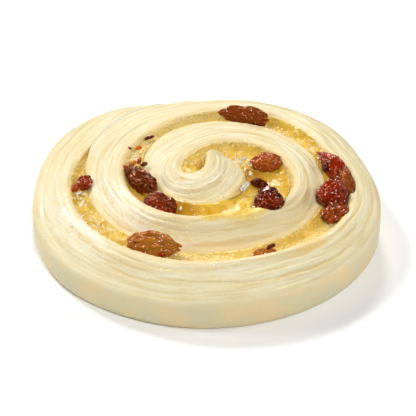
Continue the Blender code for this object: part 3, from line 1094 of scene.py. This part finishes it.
    def nest(self, piece: Object) -> None:
        """Press the dough down round every raisin that lies in its edge.

        Args:
            piece: The strip, in place.
        """
        points = read_points(piece.data) / MM
        for raisin in (r for r in RAISINS if r.nest):
            a = math.radians(raisin.turn)
            dx = points[:, 0] + self.coil.middle[0] - raisin.x
            dy = points[:, 1] + self.coil.middle[1] - raisin.y
            far = np.hypot((dx * math.cos(a) + dy * math.sin(a)) / (raisin.length / 2),
                           (dy * math.cos(a) - dx * math.sin(a)) / (raisin.width / 2))
            low = raisin.z - 0.4 * raisin.height * raisin.nest
            pressed = mix(low, points[:, 2], blend(0.75, 1.15, far))
            points[:, 2] = np.minimum(points[:, 2], pressed)
        write_points(piece.data, points * MM)


# The filling.


@dataclass
class CustardFilling:
    """The custard between the turns, up to a little under the dough's crest."""

    coil: Coil
    start: float = 158.0
    end: float = 951.0
    step: float = 0.7
    level: float = 12.0
    rise: float = 1.8
    bottom: float = 0.4
    tuck: float = 0.25         # how far it runs in under the dough's skin
    top_points: int = 22
    side_points: int = 4
    lump: float = 0.55
    # Angle along the seam; how far the surface stands above its usual level on the inner turn's
    # side and on the outer turn's side; how far it sags between them; and how dry and crumbly
    # it is on either side, where below 0 it is painted darker amber as shade in the deep pools.
    course: tuple[tuple[float, ...], ...] = (
        (158, 0.9, 1.9, 0.9, 0.5, 0.4), (180, 0.8, 1.5, 0.9, 0.2, 0.2),
        (197, 0.5, 0.8, 0.9, 0.1, 0.0), (235, 0.4, 0.6, 0.9, -0.1, -0.2),
        (262, 0.0, 0.0, 0.6, 0.5, 0.8), (282, 0.5, -0.1, 1.2, 0.4, 0.9),
        (300, 1.4, 0.0, 2.0, 0.4, 0.95), (335, 1.4, 0.0, 2.0, 0.2, 0.9),
        (352, 0.0, 0.0, 0.9, 0.0, 0.0), (375, 0.2, 1.2, 0.9, 0.0, 0.0),
        (395, 0.5, 2.2, 0.9, 0.2, 0.0), (440, 0.6, 2.9, 0.9, 0.7, 0.3),
        (465, 0.8, 2.6, 0.9, 1.0, 0.9), (492, 1.9, 2.4, 0.6, 0.9, 0.8),
        (528, 1.8, 1.9, 0.9, 0.25, 0.25), (545, 0.0, 0.0, 0.9, 0.0, 0.0),
        (580, 0.4, -0.8, 0.9, -0.3, -0.6), (600, 1.7, -1.3, 0.5, -0.8, -0.8),
        (640, 1.7, -1.0, 0.5, 0.0, 0.1), (662, 0.8, 0.4, 0.9, 0.1, 0.1),
        (700, 0.0, 0.4, 0.9, -0.2, 0.0), (735, 0.0, 1.4, 0.9, -0.8, -0.1),
        (770, 0.3, 2.9, 0.9, 0.2, 0.2), (850, 0.0, 3.0, 0.9, 0.4, 0.4),
        (875, 1.8, 3.4, 0.9, 0.3, 0.3), (951, 3.2, 3.4, 0.6, -0.1, 0.0))

    def along(self, theta: Array) -> list[Array]:
        """The course's five columns at each angle."""
        places, *columns = (np.array(column) for column in zip(*self.course))
        return [np.interp(theta, places, column) for column in columns]

    def rings(self, theta: Array) -> Array:
        """Sections across the seam, from its foot over the top and back.

        Args:
            theta: Angles of the sections.

        Returns:
            Points in metres, rings by points by three.
        """
        coil = self.coil
        # Past the knob's end the filling faces the strip's own inner edge.
        peak = coil.knob_end - 360
        facing = theta > peak
        other = np.where(facing, coil.knob_end + peak - theta, theta + 360)
        z_here = coil.inner_height(theta)
        z_there = np.where(facing, coil.inner_height(other), coil.outer_height(other))
        low_there, high_there = (
            np.where(facing[:, None], coil.inner_edge(other, below), coil.outer_edge(other, below))
            for below in (True, False))
        low_here, high_here = (coil.inner_edge(theta, below) for below in (True, False))
        top = self.level + self.rise * blend(800, 880, theta)
        heap_a, heap_b, sag = self.along(theta)[:3]
        z_a = np.minimum(top + heap_a, z_there - 0.35)
        z_b = np.minimum(top + heap_b, z_here - 0.7)
        columns, heights, flat = [], [], theta * 0

        def put(left: Array, right: Array, t: float, z: Array) -> None:
            """Add one point to every section, a share t across between the walls.

            Args:
                left: Height at which the far wall is taken.
                right: Height at which the near wall is taken.
                t: Share of the way across.
                z: The point's own height.
            """
            a = mix(low_there, high_there, (left / z_there)[:, None])
            b = mix(low_here, high_here, (right / z_here)[:, None])
            reach = np.maximum(np.linalg.norm(b - a, axis=1), 0.1)[:, None]
            out = (b - a) / reach * self.tuck
            columns.append(mix(a - out, b + out, t))
            heights.append(z)

        for k in range(self.side_points):
            z = mix(self.bottom + flat, z_a, k / self.side_points)
            put(z, z, 0.0, z)
        for k in range(self.top_points):
            t = k / (self.top_points - 1)
            # The surface clings to both walls and sinks between them.
            put(z_a, z_b, t, mix(z_a, z_b, t) + 0.35 - sag * math.sin(math.pi * t) ** 0.7)
        for k in range(self.side_points):
            z = mix(z_b, self.bottom + flat, (k + 1) / self.side_points)
            put(z, z, 1.0, z)
        put(flat, flat, 0.5, self.bottom + flat)
        return coil.place(np.stack(columns, 1), np.stack(heights, 1))

    def graph(self) -> NodeTree:
        """The tree that makes the custard's surface lumpy.

        Returns:
            The tree, which acts where a piece's points are marked free.
        """
        graph = Graph("custard_lumps", Lump=self.lump)
        add, sizes = graph.add, graph.sizes
        place = add(Kind.PLACE)
        coarse, fine = (add(Kind.PLUS, add(Kind.NOISE, place, Scale=scale, Detail=3.0), -0.5)
                        for scale in (260.0, 900.0))
        crumb = add(Kind.TIMES_PLUS, add(Kind.READ, "dry"), 1.1, 0.35)
        height = add(Kind.TIMES_PLUS, coarse, 2.2, add(Kind.TIMES, fine, crumb))
        for share in (sizes["Lump"], add(Kind.READ, "free"), MM):
            height = add(Kind.TIMES, height, share)
        return graph.close(add(Kind.MOVE, sizes["Geometry"], Offset=add(Kind.XYZ, Z=height)))

    def build(self, finish: Material) -> Object:
        """Make the filling.

        Args:
            finish: The custard's material.

        Returns:
            The filling, which stands for the solid of the same name.
        """
        theta = np.arange(self.start, self.end + 0.01, self.step)
        points = self.rings(theta)
        mesh = grid_mesh("custard", points)
        side = np.clip((np.arange(points.shape[1]) - self.side_points) / self.top_points, 0, 1)
        dry_a, dry_b = (column[:, None] for column in self.along(theta)[3:])
        dry = mix(dry_a, dry_b, blend(0.25, 0.65, side))
        free = np.zeros(points.shape[:2])
        free[:, self.side_points:self.side_points + self.top_points] = 1.0
        plan = points[..., :2] / MM
        marks = {"dry": dry, "free": free, "flake": patch_sum(FLAKES, plan) * free,
                 "frost": patch_sum(FROST, plan) * free,
                 "clots": np.clip(dry * 1.2 - 0.1, 0, 1) * free, "thin": free * 0}
        for name, values in marks.items():
            put_mark(mesh, name, values)
        piece = new_piece("custard_filling", mesh)
        run_graph(piece, self.graph(), finish, {"Lump": self.lump})
        return hand_over(piece, Slot.CUSTARD, "custard")


# The raisins.


@dataclass(frozen=True)
class Raisin:
    """One dried grape: its place in the coil's plan, its sizes and its colour marks."""

    node: str
    x: float
    y: float
    z: float
    length: float
    width: float
    height: float
    turn: float
    pitch: float = 0.0
    bend: float = 0.0
    fuller: float = 0.0
    glow: float = 0.15
    sugar: float = 0.3
    tone: float = 0.0
    tip: float = 0.0
    nest: float = 0.0          # how far the dough round it is pressed down
    wrinkle: float = 1.0
    point: float = 0.0         # how far both ends taper
    detail: int = 6


RAISINS = (
    Raisin("raisin_01", 10.6, 33.1, 14.6, 15.2, 5.2, 5.8, -18, 0, -0.9, 0.1, 0.7, 1.0, 0.0, -0.9,
           wrinkle=1.2),
    Raisin("raisin_02", 35.1, 8.9, 13.6, 13.2, 5.8, 6.2, -58, 10, -0.8, 0.3, 0.04, 0.15, 0.0,
           0.5, 1.0, point=0.25),
    Raisin("raisin_03", 38.3, 1.4, 13.2, 10.6, 3.8, 5.0, -80, 12, -0.9, -0.25, 0.8, 0.15, 0.2,
           nest=0.9, point=0.2),
    Raisin("raisin_04", 34.0, -4.4, 13.4, 8.6, 8.4, 8.4, 40, glow=0.0, sugar=0.25, nest=0.8),
    Raisin("raisin_05", 34.2, -11.0, 12.2, 7.4, 6.0, 5.4, 25, glow=0.05, sugar=0.9, tone=0.2,
           nest=1.0),
    Raisin("raisin_06", 16.7, 10.4, 13.6, 9.0, 6.0, 5.4, -4, 0, -0.4, glow=0.1, tone=0.35,
           tip=-0.6),
    Raisin("raisin_07", 16.4, -9.1, 14.4, 8.3, 8.0, 8.0, 30, glow=0.0, sugar=0.1, nest=1.0),
    Raisin("raisin_08", 14.2, 1.4, 13.2, 5.0, 2.4, 2.6, -20, glow=0.0, sugar=0.6),
    Raisin("raisin_09", -18.7, 2.7, 13.6, 11.6, 6.2, 6.8, -52, 0, 0.5, 0.1, 0.4, 1.0, 0.0, -0.9,
           wrinkle=1.2),
    Raisin("raisin_10", -12.8, -8.6, 13.2, 9.8, 6.4, 6.6, -24, 0, 0.5, -0.15, tip=0.4, nest=1.0),
    Raisin("raisin_11", -33.8, 2.0, 12.6, 5.2, 4.4, 4.6, 80, glow=0.2),
    Raisin("raisin_12", -14.3, -26.0, 13.0, 14.0, 7.8, 8.6, -10, 0, 0.7, 0.0, 0.3, 0.5, 1.0,
           nest=0.9, wrinkle=0.65, point=0.45),
    Raisin("raisin_13", 14.8, -27.4, 11.4, 6.4, 3.6, 3.6, 14, glow=0.1, sugar=0.8, tone=0.8,
           nest=0.8),
)

# Torn bits of raisin too small to be solids of their own: place, sizes and turn, and then
# glow, sugar, wrinkle and tone.
SCRAPS = tuple(
    Raisin("", *sizes, glow=glow, sugar=sugar, wrinkle=wrinkle, tone=tone, detail=4)
    for *sizes, glow, sugar, wrinkle, tone in (
        (-16.6, 21.0, 15.0, 3.4, 1.1, 1.0, 28, 0.0, 0.9, 2.2, 0.0),
        (-19.4, 15.6, 15.2, 2.0, 1.2, 1.1, 20, 0.9, 0.2, 2.2, 0.0),
        (-22.0, 15.3, 15.2, 1.4, 1.0, 0.9, -30, 0.8, 0.3, 2.2, 0.0),
        (-19.0, 9.6, 15.0, 2.6, 1.2, 1.6, 70, 0.5, 0.1, 2.2, 0.0),
        (-17.6, 7.4, 15.4, 2.2, 1.1, 1.3, 25, 0.5, 0.2, 2.2, 0.0),
        (-22.4, 6.6, 14.8, 3.0, 1.6, 1.4, -20, 0.4, 0.7, 2.2, 0.0),
        (-20.6, 7.6, 15.6, 2.4, 1.4, 1.2, 35, 0.6, 0.9, 2.2, 0.0),
        (-21.8, 4.4, 15.8, 2.6, 1.5, 1.2, -70, 0.3, 0.9, 2.2, 0.0),
        (38.4, -1.6, 13.0, 4.4, 1.8, 2.2, -78, 0.5, 0.2, 1.0, 0.3),
        (32.6, 6.9, 14.6, 3.2, 1.8, 2.6, 80, 0.0, 0.0, 1.0, 0.0),
        (16.4, -26.8, 13.6, 2.8, 1.3, 1.4, 35, 0.0, 0.0, 2.2, 0.0),
        (-36.4, -0.9, 13.0, 3.4, 2.0, 2.4, 70, 0.8, 0.3, 1.0, 0.0),
        (-12.4, -29.6, 13.2, 3.4, 1.2, 1.4, -6, 0.3, 0.2, 1.0, 0.0)))


@dataclass
class RaisinScatter:
    """All of the raisins, from one tree that wrinkles an egg."""

    coil: Coil
    raisins: tuple[Raisin, ...] = RAISINS + SCRAPS
    fold_depth: float = 0.15
    crease_depth: float = 0.075
    fine_depth: float = 0.026

    def graph(self) -> NodeTree:
        """The tree that turns a ball one unit across into a wrinkled raisin.

        Returns:
            The tree, which also marks the ball for the finish.
        """
        graph = Graph("dried_grape", Length=10.0, Width=7.0, Height=6.5, Bend=0.0, Fuller=0.0,
                      Point=0.0, Glow=0.2, Sugar=0.3, Tone=0.0, Tip=0.0, Wrinkle=1.0, Seed=0.0)
        add, sizes = graph.add, graph.sizes
        place = add(Kind.PLACE)
        unit = add(Kind.VECTOR_TIMES, place, (2.0, 2.0, 2.0))
        ahead, _, upward = add(Kind.AXES, unit).outputs
        seed = add(Kind.XYZ, sizes["Seed"], sizes["Seed"], sizes["Seed"])

        def creased(x: float, y: float, wide: float) -> tuple[Node, Node, Node]:
            """Creases of a noise stretched along the raisin.

            Args:
                x: The noise's scale along the raisin.
                y: Its scale round it.
                wide: Where a crease ends.

            Returns:
                1 in a crease and 0 from its side on, the noise itself, and a narrow crease.
            """
            where = add(Kind.VECTOR_TIMES_PLUS, unit, (x, y, y), seed)
            noise = add(Kind.NOISE, where, Scale=1.0, Detail=1.0, Distortion=0.5)
            size = add(Kind.SIZE, add(Kind.TIMES_PLUS, noise, 2.0, -1.0))
            return add(Kind.RANGE, size, wide, 0.0), noise, add(Kind.RANGE, size, 0.12, 0.0)

        fold, slow, fold_line = creased(0.8, 1.5, 0.24)
        crease, _, crease_line = creased(1.7, 2.8, 0.2)
        fine, _, _ = creased(3.6, 6.0, 0.3)
        deep = add(Kind.TIMES, fold, self.fold_depth)
        for line, depth in ((crease, self.crease_depth), (fine, self.fine_depth)):
            deep = add(Kind.TIMES_PLUS, line, depth, deep)
        deep = add(Kind.TIMES, deep, sizes["Wrinkle"])
        taken = add(Kind.PLUS, deep, add(Kind.TIMES_PLUS, slow, 0.3, -0.15))
        crumpled = add(Kind.VECTOR_SCALE, place, Scale=add(Kind.MINUS, 1.05, taken))
        along, aside, high = add(Kind.AXES, crumpled).outputs
        square = add(Kind.TIMES, ahead, ahead)
        full = add(Kind.TIMES, add(Kind.TIMES_PLUS, ahead, sizes["Fuller"], 1.0),
                   add(Kind.MINUS, 1.0, add(Kind.TIMES, square, sizes["Point"])))
        wide, tall = (add(Kind.TIMES, sizes[name], full) for name in ("Width", "Height"))
        shaped = add(Kind.XYZ, add(Kind.TIMES, along, sizes["Length"]),
                     add(Kind.TIMES_PLUS, aside, wide, add(Kind.TIMES, square, sizes["Bend"])),
                     add(Kind.TIMES, high, tall))
        geometry = add(Kind.MOVE, sizes["Geometry"],
                       Position=add(Kind.VECTOR_SCALE, shaped, Scale=MM))
        # Marks for the finish: crests, with the creases between them painted dark as shade, a
        # painted glow of light through the undersides, and sugar bloom with painted glints on top.
        crest = add(Kind.MINUS, 1.0, add(Kind.LARGER, fold_line, crease_line))
        glow = add(Kind.TIMES, add(Kind.RANGE, upward, 0.5, -0.5, 0.4, 1.1), sizes["Glow"])
        patchy = add(Kind.RANGE, slow, 0.35, 0.62, 0.1, 1.9)
        # One end may be thin and let more light through.
        end = add(Kind.RANGE, add(Kind.TIMES, ahead, sizes["Tip"]), 0.05, 0.7, 0.0, 0.9)
        glow = add(Kind.TIMES_PLUS, end, patchy, add(Kind.TIMES, glow, patchy), use_clamp=True)
        # Sugar bloom on the upward crests, painted pinkish white as glints too.
        fleck = add(Kind.NOISE, unit, Scale=4.5, Detail=3.0)
        sugar_and_glints = add(Kind.TIMES, add(Kind.RANGE, fleck, 0.52, 0.66),
                   add(Kind.RANGE, upward, -0.1, 0.8))
        sugar_and_glints = add(Kind.TIMES, add(Kind.TIMES, sugar_and_glints, crest), sizes["Sugar"], use_clamp=True)
        for name, value in {"crest": crest, "glow": glow, "sugar": sugar_and_glints,
                            "tone": sizes["Tone"]}.items():
            geometry = add(Kind.STORE, geometry, Name=name, Value=value)
        return graph.close(geometry)

    def build(self, finish: Material) -> list[Object]:
        """Make every raisin.

        Args:
            finish: The raisins' material.

        Returns:
            The raisins, each of which stands for the solid of its name.
        """
        tree, made = self.graph(), []
        for number, raisin in enumerate(self.raisins):
            bm = bmesh.new()
            bmesh.ops.create_icosphere(bm, subdivisions=raisin.detail, radius=0.5)
            name = "dried_" + (raisin.node or f"scrap_{number - len(RAISINS) + 1}")
            mesh = bpy.data.meshes.new(name)
            bm.to_mesh(mesh)
            bm.free()
            piece = new_piece(name, mesh)
            run_graph(piece, tree, finish, {"Seed": 2.3 * number + 1.0} | {
                size: getattr(raisin, size.lower())
                for size in ("Length", "Width", "Height", "Bend", "Fuller", "Point", "Glow",
                             "Sugar", "Tone", "Tip", "Wrinkle")})
            facing = Euler((0, math.radians(raisin.pitch), math.radians(raisin.turn)))
            spot = Vector((raisin.x - self.coil.middle[0], raisin.y - self.coil.middle[1],
                           raisin.z)) * MM
            piece.data.transform(Matrix.Translation(spot) @ facing.to_matrix().to_4x4())
            made.append(hand_over(piece, Slot.RAISIN, *filter(None, [raisin.node])))
        return made


# Small things on top.


@dataclass
class Sprinkle:
    """Grains scattered over a surface by one of its marks."""

    name: str
    slot: Slot
    mark: str
    density: float             # grains to the square centimetre where the mark is 1
    smallest: float
    largest: float
    flat: float = 0.7          # height of a grain to its width
    lift: float = 0.0          # how far its middle stands over the surface
    detail: int = 1
    seed: int = 1

    def graph(self) -> NodeTree:
        """The tree that scatters grains where the mark says.

        Returns:
            The tree, which keeps the grains and drops the surface.
        """
        graph = Graph(self.name, Density=self.density, Smallest=self.smallest,
                      Largest=self.largest)
        add, sizes = graph.add, graph.sizes
        density = add(Kind.TIMES, add(Kind.READ, self.mark),
                      add(Kind.TIMES, sizes["Density"], 1e4))
        points = add(Kind.SPREAD, sizes["Geometry"], Density=density, Seed=self.seed)
        place = add(Kind.PLACE)
        rough = add(Kind.TIMES_PLUS, add(Kind.NOISE, place, Scale=2.6), 1.1, 0.45)
        grain = add(Kind.MOVE, add(Kind.BALL, 0.5, self.detail),
                    Position=add(Kind.VECTOR_SCALE, place, Scale=rough))
        size = add(Kind.RANDOM, Min=sizes["Smallest"], Max=sizes["Largest"], Seed=self.seed + 5)
        size = add(Kind.TIMES, size, MM)
        scale = add(Kind.XYZ, size, size, add(Kind.TIMES, size, self.flat))
        # A grain lies nearly flat, and turns any way.
        spin = add(Kind.RANDOM_VECTOR, Min=(-0.5, -0.5, 0.0), Max=(0.5, 0.5, 6.28),
                   Seed=self.seed + 9)
        copies = add(Kind.COPIES, points, Instance=grain, Rotation=spin, Scale=scale)
        return graph.close(add(Kind.SHIFT_COPIES, copies,
                               Translation=(0.0, 0.0, self.lift * MM)))

    def build(self, carrier: Mesh, finish: Material) -> None:
        """Scatter the grains, as one plain mesh.

        Args:
            carrier: The mesh that they lie on, in place.
            finish: Their material.
        """
        piece = new_piece(self.name, carrier.copy())
        run_graph(piece, self.graph(), finish, {
            "Density": self.density, "Smallest": self.smallest, "Largest": self.largest})
        hand_over(piece, self.slot)


def joined(pieces: list[Object], mark: str) -> Mesh:
    """One mesh of several pieces, to scatter things over.

    Args:
        pieces: The pieces, made of triangles only.
        mark: The mark that goes with them.

    Returns:
        A mesh that no object in the scene has.
    """
    points, faces, marks, count = [], [], [], 0
    for mesh in (piece.data for piece in pieces):
        corners = np.empty(len(mesh.polygons) * 3, np.int32)
        mesh.polygons.foreach_get("vertices", corners)
        value = np.empty(len(mesh.vertices), np.float32)
        mesh.attributes[mark].data.foreach_get("value", value)
        points.append(read_points(mesh))
        faces.append(corners.reshape(-1, 3) + count)
        marks.append(value)
        count += len(value)
    whole = bpy.data.meshes.new("joined")
    whole.from_pydata(np.concatenate(points).tolist(), [], np.concatenate(faces).tolist())
    put_mark(whole, mark, np.concatenate(marks))
    return whole


@dataclass(frozen=True)
class Smear:
    """A thin coat of custard, in the frame's plan."""

    x: float
    y: float
    length: float
    width: float
    turn: float
    thick: float
    dry: float = 0.2


SMEARS = (Smear(9.8, -12.8, 15.5, 10.5, 18, 0.3), Smear(3.0, -16.4, 12.0, 3.4, 2, 0.2, 0.3),
          Smear(-4.4, 7.6, 5.5, 3.6, 70, 0.35, 0.0), Smear(-2.0, 8.6, 6.5, 2.6, 72, 0.2, 0.0),
          Smear(10.9, -6.4, 10.5, 5.0, 56, 0.35, 0.0))


@dataclass
class CustardSmears:
    """Custard spread on the dough's face and on the filling beside the knob."""

    coats: tuple[Smear, ...] = SMEARS
    rings: int = 14
    points: int = 72
    sunk: float = 0.14         # how far the rim lies under the surface
    under: float = 0.3         # and how far the whole underside
    lump: float = 0.5
    seed: int = 5

    def coat(self, number: int, smear: Smear, ground: BVHTree) -> Array:
        """Rings of one coat: over the top from its middle, and back below.

        Args:
            number: Its place in the list, which sets its outline.
            smear: Its place and sizes.
            ground: What it lies on, in metres.

        Returns:
            Points in metres.
        """
        rng = np.random.default_rng(self.seed + number)
        phi = np.linspace(0, 2 * math.pi, self.points, endpoint=False)
        outline = 1 + sum(rng.uniform(0.1, 0.3) / k * np.sin(k * phi + rng.uniform(0, 6.28))
                          for k in (2, 3, 5, 8, 13))
        a = math.radians(smear.turn)
        share = np.linspace(0.05, 1, self.rings)
        above = [(r, smear.thick * (1 - r ** 4) - self.sunk * r ** 4) for r in share]
        rows = []
        for rho, lift in above + [(r, -self.under) for r in share[::-1]]:
            u = rho * outline * np.cos(phi) * smear.length / 2
            v = rho * outline * np.sin(phi) * smear.width / 2
            x = smear.x + u * math.cos(a) - v * math.sin(a)
            y = smear.y + u * math.sin(a) + v * math.cos(a)
            row = []
            for px, py in zip(x * MM, y * MM):
                hit = ground.ray_cast(Vector((px, py, 30 * MM)), Vector((0, 0, -1)))[0]
                row.append((px, py, (hit.z if hit else 0.012) + lift * MM))
            rows.append(row)
        return np.array(rows)

    def build(self, carriers: list[Object], tree: NodeTree, finish: Material) -> None:
        """Spread every coat.

        Args:
            carriers: The pieces that they lie on.
            tree: The tree that makes custard lumpy.
            finish: The custard's material.
        """
        bm = bmesh.new()
        for carrier in carriers:
            bm.from_mesh(carrier.data)
        ground = BVHTree.FromBMesh(bm)
        bm.free()
        for number, smear in enumerate(self.coats, 1):
            points = self.coat(number, smear, ground)
            mesh = grid_mesh(f"custard_coat_{number}", points)
            top = np.zeros(points.shape[:2])
            top[:self.rings] = 1 - np.linspace(0, 1, self.rings)[:, None] ** 1.5
            put_mark(mesh, "free", top * 0.8)
            put_mark(mesh, "dry", np.full(points.shape[:2], smear.dry))
            put_mark(mesh, "thin", (1 - top) ** 0.7)
            piece = new_piece(mesh.name, mesh)
            run_graph(piece, tree, finish, {"Lump": self.lump})
            hand_over(piece, Slot.CUSTARD)


@dataclass(frozen=True)
class Shard:
    """One splinter of ice, in the frame: its middle, its sizes and how it lies."""

    x: float
    y: float
    z: float
    length: float
    width: float
    turn: float
    pitch: float = 0.0


SHARDS = (Shard(10.9, -1.4, 14.4, 3.6, 2.0, 56, -12), Shard(8.6, 11.2, 14.9, 1.5, 1.1, 12, 20),
          Shard(10.2, 11.0, 14.7, 2.0, 1.3, 62, -25), Shard(11.6, 11.6, 14.6, 1.5, 1.0, 30, 15),
          Shard(9.8, 9.4, 14.6, 1.4, 1.1, -40, 10), Shard(11.9, 9.6, 14.4, 1.3, 1.1, 80, -10),
          Shard(12.6, 4.6, 13.8, 1.0, 0.7, 15, 10), Shard(12.0, -30.2, 13.8, 0.9, 0.5, 10, 0),
          Shard(15.4, -29.8, 13.8, 0.8, 0.5, 60, 0), Shard(-34.6, -3.4, 13.6, 2.2, 1.0, 20, 0),
          Shard(-33.0, -4.2, 13.6, 1.4, 0.8, -10, 0))


@dataclass
class IceShards:
    """Splinters of ice in the custard."""

    shards: tuple[Shard, ...] = SHARDS
    sides: int = 6
    # Places along a splinter, and its girth there.
    profile: tuple[Pair, ...] = ((-0.5, 0.15), (-0.38, 0.8), (0.1, 1.0), (0.36, 0.7), (0.5, 0.2))
    seed: int = 11

    def build(self, finish: Material) -> None:
        """Make the splinters as one mesh of flat facets.

        Args:
            finish: The ice's material.
        """
        rng = np.random.default_rng(self.seed)
        phi = np.linspace(0, 2 * math.pi, self.sides, endpoint=False)
        whole = bmesh.new()
        for shard in self.shards:
            length, half = shard.length * MM, shard.width * MM / 2
            lean = Euler((rng.uniform(-0.4, 0.4), math.radians(shard.pitch),
                          math.radians(shard.turn))).to_matrix()
            spot, rows = Vector((shard.x, shard.y, shard.z)) * MM, []
            for along, size in self.profile:
                radius = half * size * rng.uniform(0.6, 1.2, self.sides)
                shift = rng.uniform(-0.06, 0.06)
                rows.append([whole.verts.new(spot + lean @ Vector((
                    (along + shift) * length, r * math.cos(p), 0.8 * r * math.sin(p))))
                    for r, p in zip(radius, phi)])
            for a, b in zip(rows, rows[1:]):
                for i in range(self.sides):
                    j = (i + 1) % self.sides
                    whole.faces.new((a[i], a[j], b[j], b[i]))
            whole.faces.new(rows[0][::-1])
            whole.faces.new(rows[-1])
        bmesh.ops.triangulate(whole, faces=whole.faces)
        bmesh.ops.recalc_face_normals(whole, faces=whole.faces)
        mesh = bpy.data.meshes.new("ice_shards")
        whole.to_mesh(mesh)
        whole.free()
        mesh.materials.append(finish)
        hand_over(new_piece("ice_shards", mesh), Slot.CUSTARD)


# The studio.


@dataclass(frozen=True)
class Lamp:
    """A soft square white lamp: where it hangs, its side in metres and its watts."""

    name: str
    azimuth: float
    elevation: float
    size: float
    power: float


LAMPS = (Lamp("left_low", 178, 26, 0.26, 5.0), Lamp("key_left_rear", 137, 44, 0.24, 8.2),
         Lamp("rear", 92, 38, 0.24, 6.3), Lamp("right_low", 2, 27, 0.36, 3.5),
         Lamp("front", 290, 48, 0.36, 9.7))


@dataclass
class Studio:
    """Floor, light and the camera at the photograph's angle, in metres."""

    elevation: float = 37.0
    distance: float = 0.400
    target: tuple[float, float, float] = (0.0, 0.0, 0.0075)
    width: float = 0.095       # of the pastry, which spans this share of the frame
    spans: float = 346 / 416
    across: float = 205.4      # pixels from the frame's left side to the target
    down: float = 203.3        # and from its top
    frame_size: float = 416.0
    sensor: float = 36.0
    floor_size: float = 3.0
    lamps: tuple[Lamp, ...] = LAMPS
    lamp_distance: float = 1.3
    ambient: float = 0.12

    def floor(self, finish: Material) -> None:
        """Lay the pale floor.

        Args:
            finish: The floor's material.
        """
        half = self.floor_size / 2
        mesh = bpy.data.meshes.new("floor")
        mesh.from_pydata([(-half, -half, 0), (half, -half, 0), (half, half, 0), (-half, half, 0)],
                         [], [(0, 1, 2, 3)])
        mesh.materials.append(finish)
        new_piece("floor", mesh)

    def aim(self, name: str, data: bpy.types.ID, place: Vector) -> Object:
        """Hang a lamp or the camera so that it looks at the pastry.

        Args:
            name: The object's name.
            data: The lamp or the camera.
            place: Where it hangs.

        Returns:
            The object, in the scene.
        """
        obj = new_piece(name, data)
        obj.location = place
        obj.rotation_euler = (Vector(self.target) - place).to_track_quat("-Z", "Y").to_euler()
        return obj

    def light(self, lamp: Lamp) -> None:
        """Hang one lamp.

        Args:
            lamp: The lamp's sizes.
        """
        turn, rise = math.radians(lamp.azimuth), math.radians(lamp.elevation)
        data = bpy.data.lights.new(lamp.name, "AREA")
        data.size, data.energy = lamp.size, lamp.power
        self.aim(lamp.name, data, self.lamp_distance * Vector((
            math.cos(turn) * math.cos(rise), math.sin(turn) * math.cos(rise), math.sin(rise))))

    def camera(self) -> Object:
        """The camera, aimed and framed as the photograph is.

        Returns:
            The camera's object.
        """
        pixels = self.spans * self.frame_size
        focal = pixels * math.sqrt(self.distance ** 2 - (self.width / 2) ** 2) / self.width
        data = bpy.data.cameras.new("camera")
        data.sensor_width = self.sensor
        data.lens = focal * self.sensor / self.frame_size
        data.shift_x = (self.frame_size / 2 - self.across) / self.frame_size
        data.shift_y = (self.down - self.frame_size / 2) / self.frame_size
        data.clip_start, data.clip_end = 0.01, 20.0
        e = math.radians(self.elevation)
        back = Vector((0, -math.cos(e), math.sin(e)))
        return self.aim("camera", data, Vector(self.target) + back * self.distance)

    def build(self, paper: Material) -> None:
        """Set the whole studio up around the pastry.

        Args:
            paper: The floor's material.
        """
        self.floor(paper)
        for lamp in self.lamps:
            self.light(lamp)
        scene, world = bpy.context.scene, bpy.data.worlds.new("studio")
        world.use_nodes = True
        fill(world.node_tree, world.node_tree.nodes["Background"],
             {"Color": colour("FFFFFF"), "Strength": self.ambient})
        scene.world = world
        scene.view_settings.view_transform = "Standard"
        scene.camera = self.camera()


def main() -> None:
    """Build every piece in order."""
    logging.basicConfig(level=logging.INFO, format="%(name)s: %(message)s")
    coil = Coil()
    filling = CustardFilling(coil)
    dough = DoughStrip(coil).build(RawDough().build())
    custard = filling.build(BakersCustard().build())
    spread = BakersCustard("spread_pastry_cream", "E4B23A", "F6CE58", thin="EED28A")
    CustardSmears().build([dough, custard], filling.graph(), spread.build())
    raisins = RaisinScatter(coil).build(DriedGrapeSkin().build())
    IceShards().build(WaterIce().build())
    # White rime grains: frost on the dough, custard and raisins, made opaque white to stand in for
    # glints too.
    rime_and_glints = WaterIce("white_rime", 0.0, "FFFFFF").build()
    crumbs, cream, flour = (
        BakersCustard(name, deep, light, depth=0.0).build()
        for name, deep, light in (("custard_crumb", "EBC97C", "F5DFA8"),
                                  ("cream_crumb", "E8CC88", "F4E2B4"),
                                  ("dry_cream_crumb", "E6D6B0", "F5ECD2")))
    skins = joined(raisins[:len(RAISINS)], "crest")
    for carrier, finish, sprinkle in (
            (dough.data, rime_and_glints, Sprinkle("frost_grains", Slot.DOUGH, "frost", 60.0, 0.15, 0.5,
                                        flat=0.35, seed=3)),
            (custard.data, rime_and_glints, Sprinkle("custard_frost", Slot.CUSTARD, "frost", 130.0, 0.15,
                                          0.45, flat=0.4, lift=0.05, seed=17)),
            (skins, rime_and_glints, Sprinkle("raisin_frost", Slot.RAISIN, "crest", 22.0, 0.2, 0.5,
                                   flat=0.5, seed=31)),
            (dough.data, crumbs, Sprinkle("custard_crumbs", Slot.CUSTARD, "film", 60.0, 0.2,
                                          0.5, seed=8)),
            (dough.data, cream, Sprinkle("wall_crumbs", Slot.CUSTARD, "crumb", 380.0, 0.15,
                                         0.42, flat=0.5, seed=21)),
            (custard.data, crumbs, Sprinkle("custard_clots", Slot.CUSTARD, "clots", 200.0, 0.3,
                                            0.8, seed=12)),
            (custard.data, flour, Sprinkle("dough_flakes", Slot.DOUGH, "flake", 200.0, 0.4, 1.1,
                                           flat=0.5, lift=0.3, detail=2, seed=15))):
        sprinkle.build(carrier, finish)
    Studio().build(StudioPaper().build())


if __name__ == "__main__":
    main()
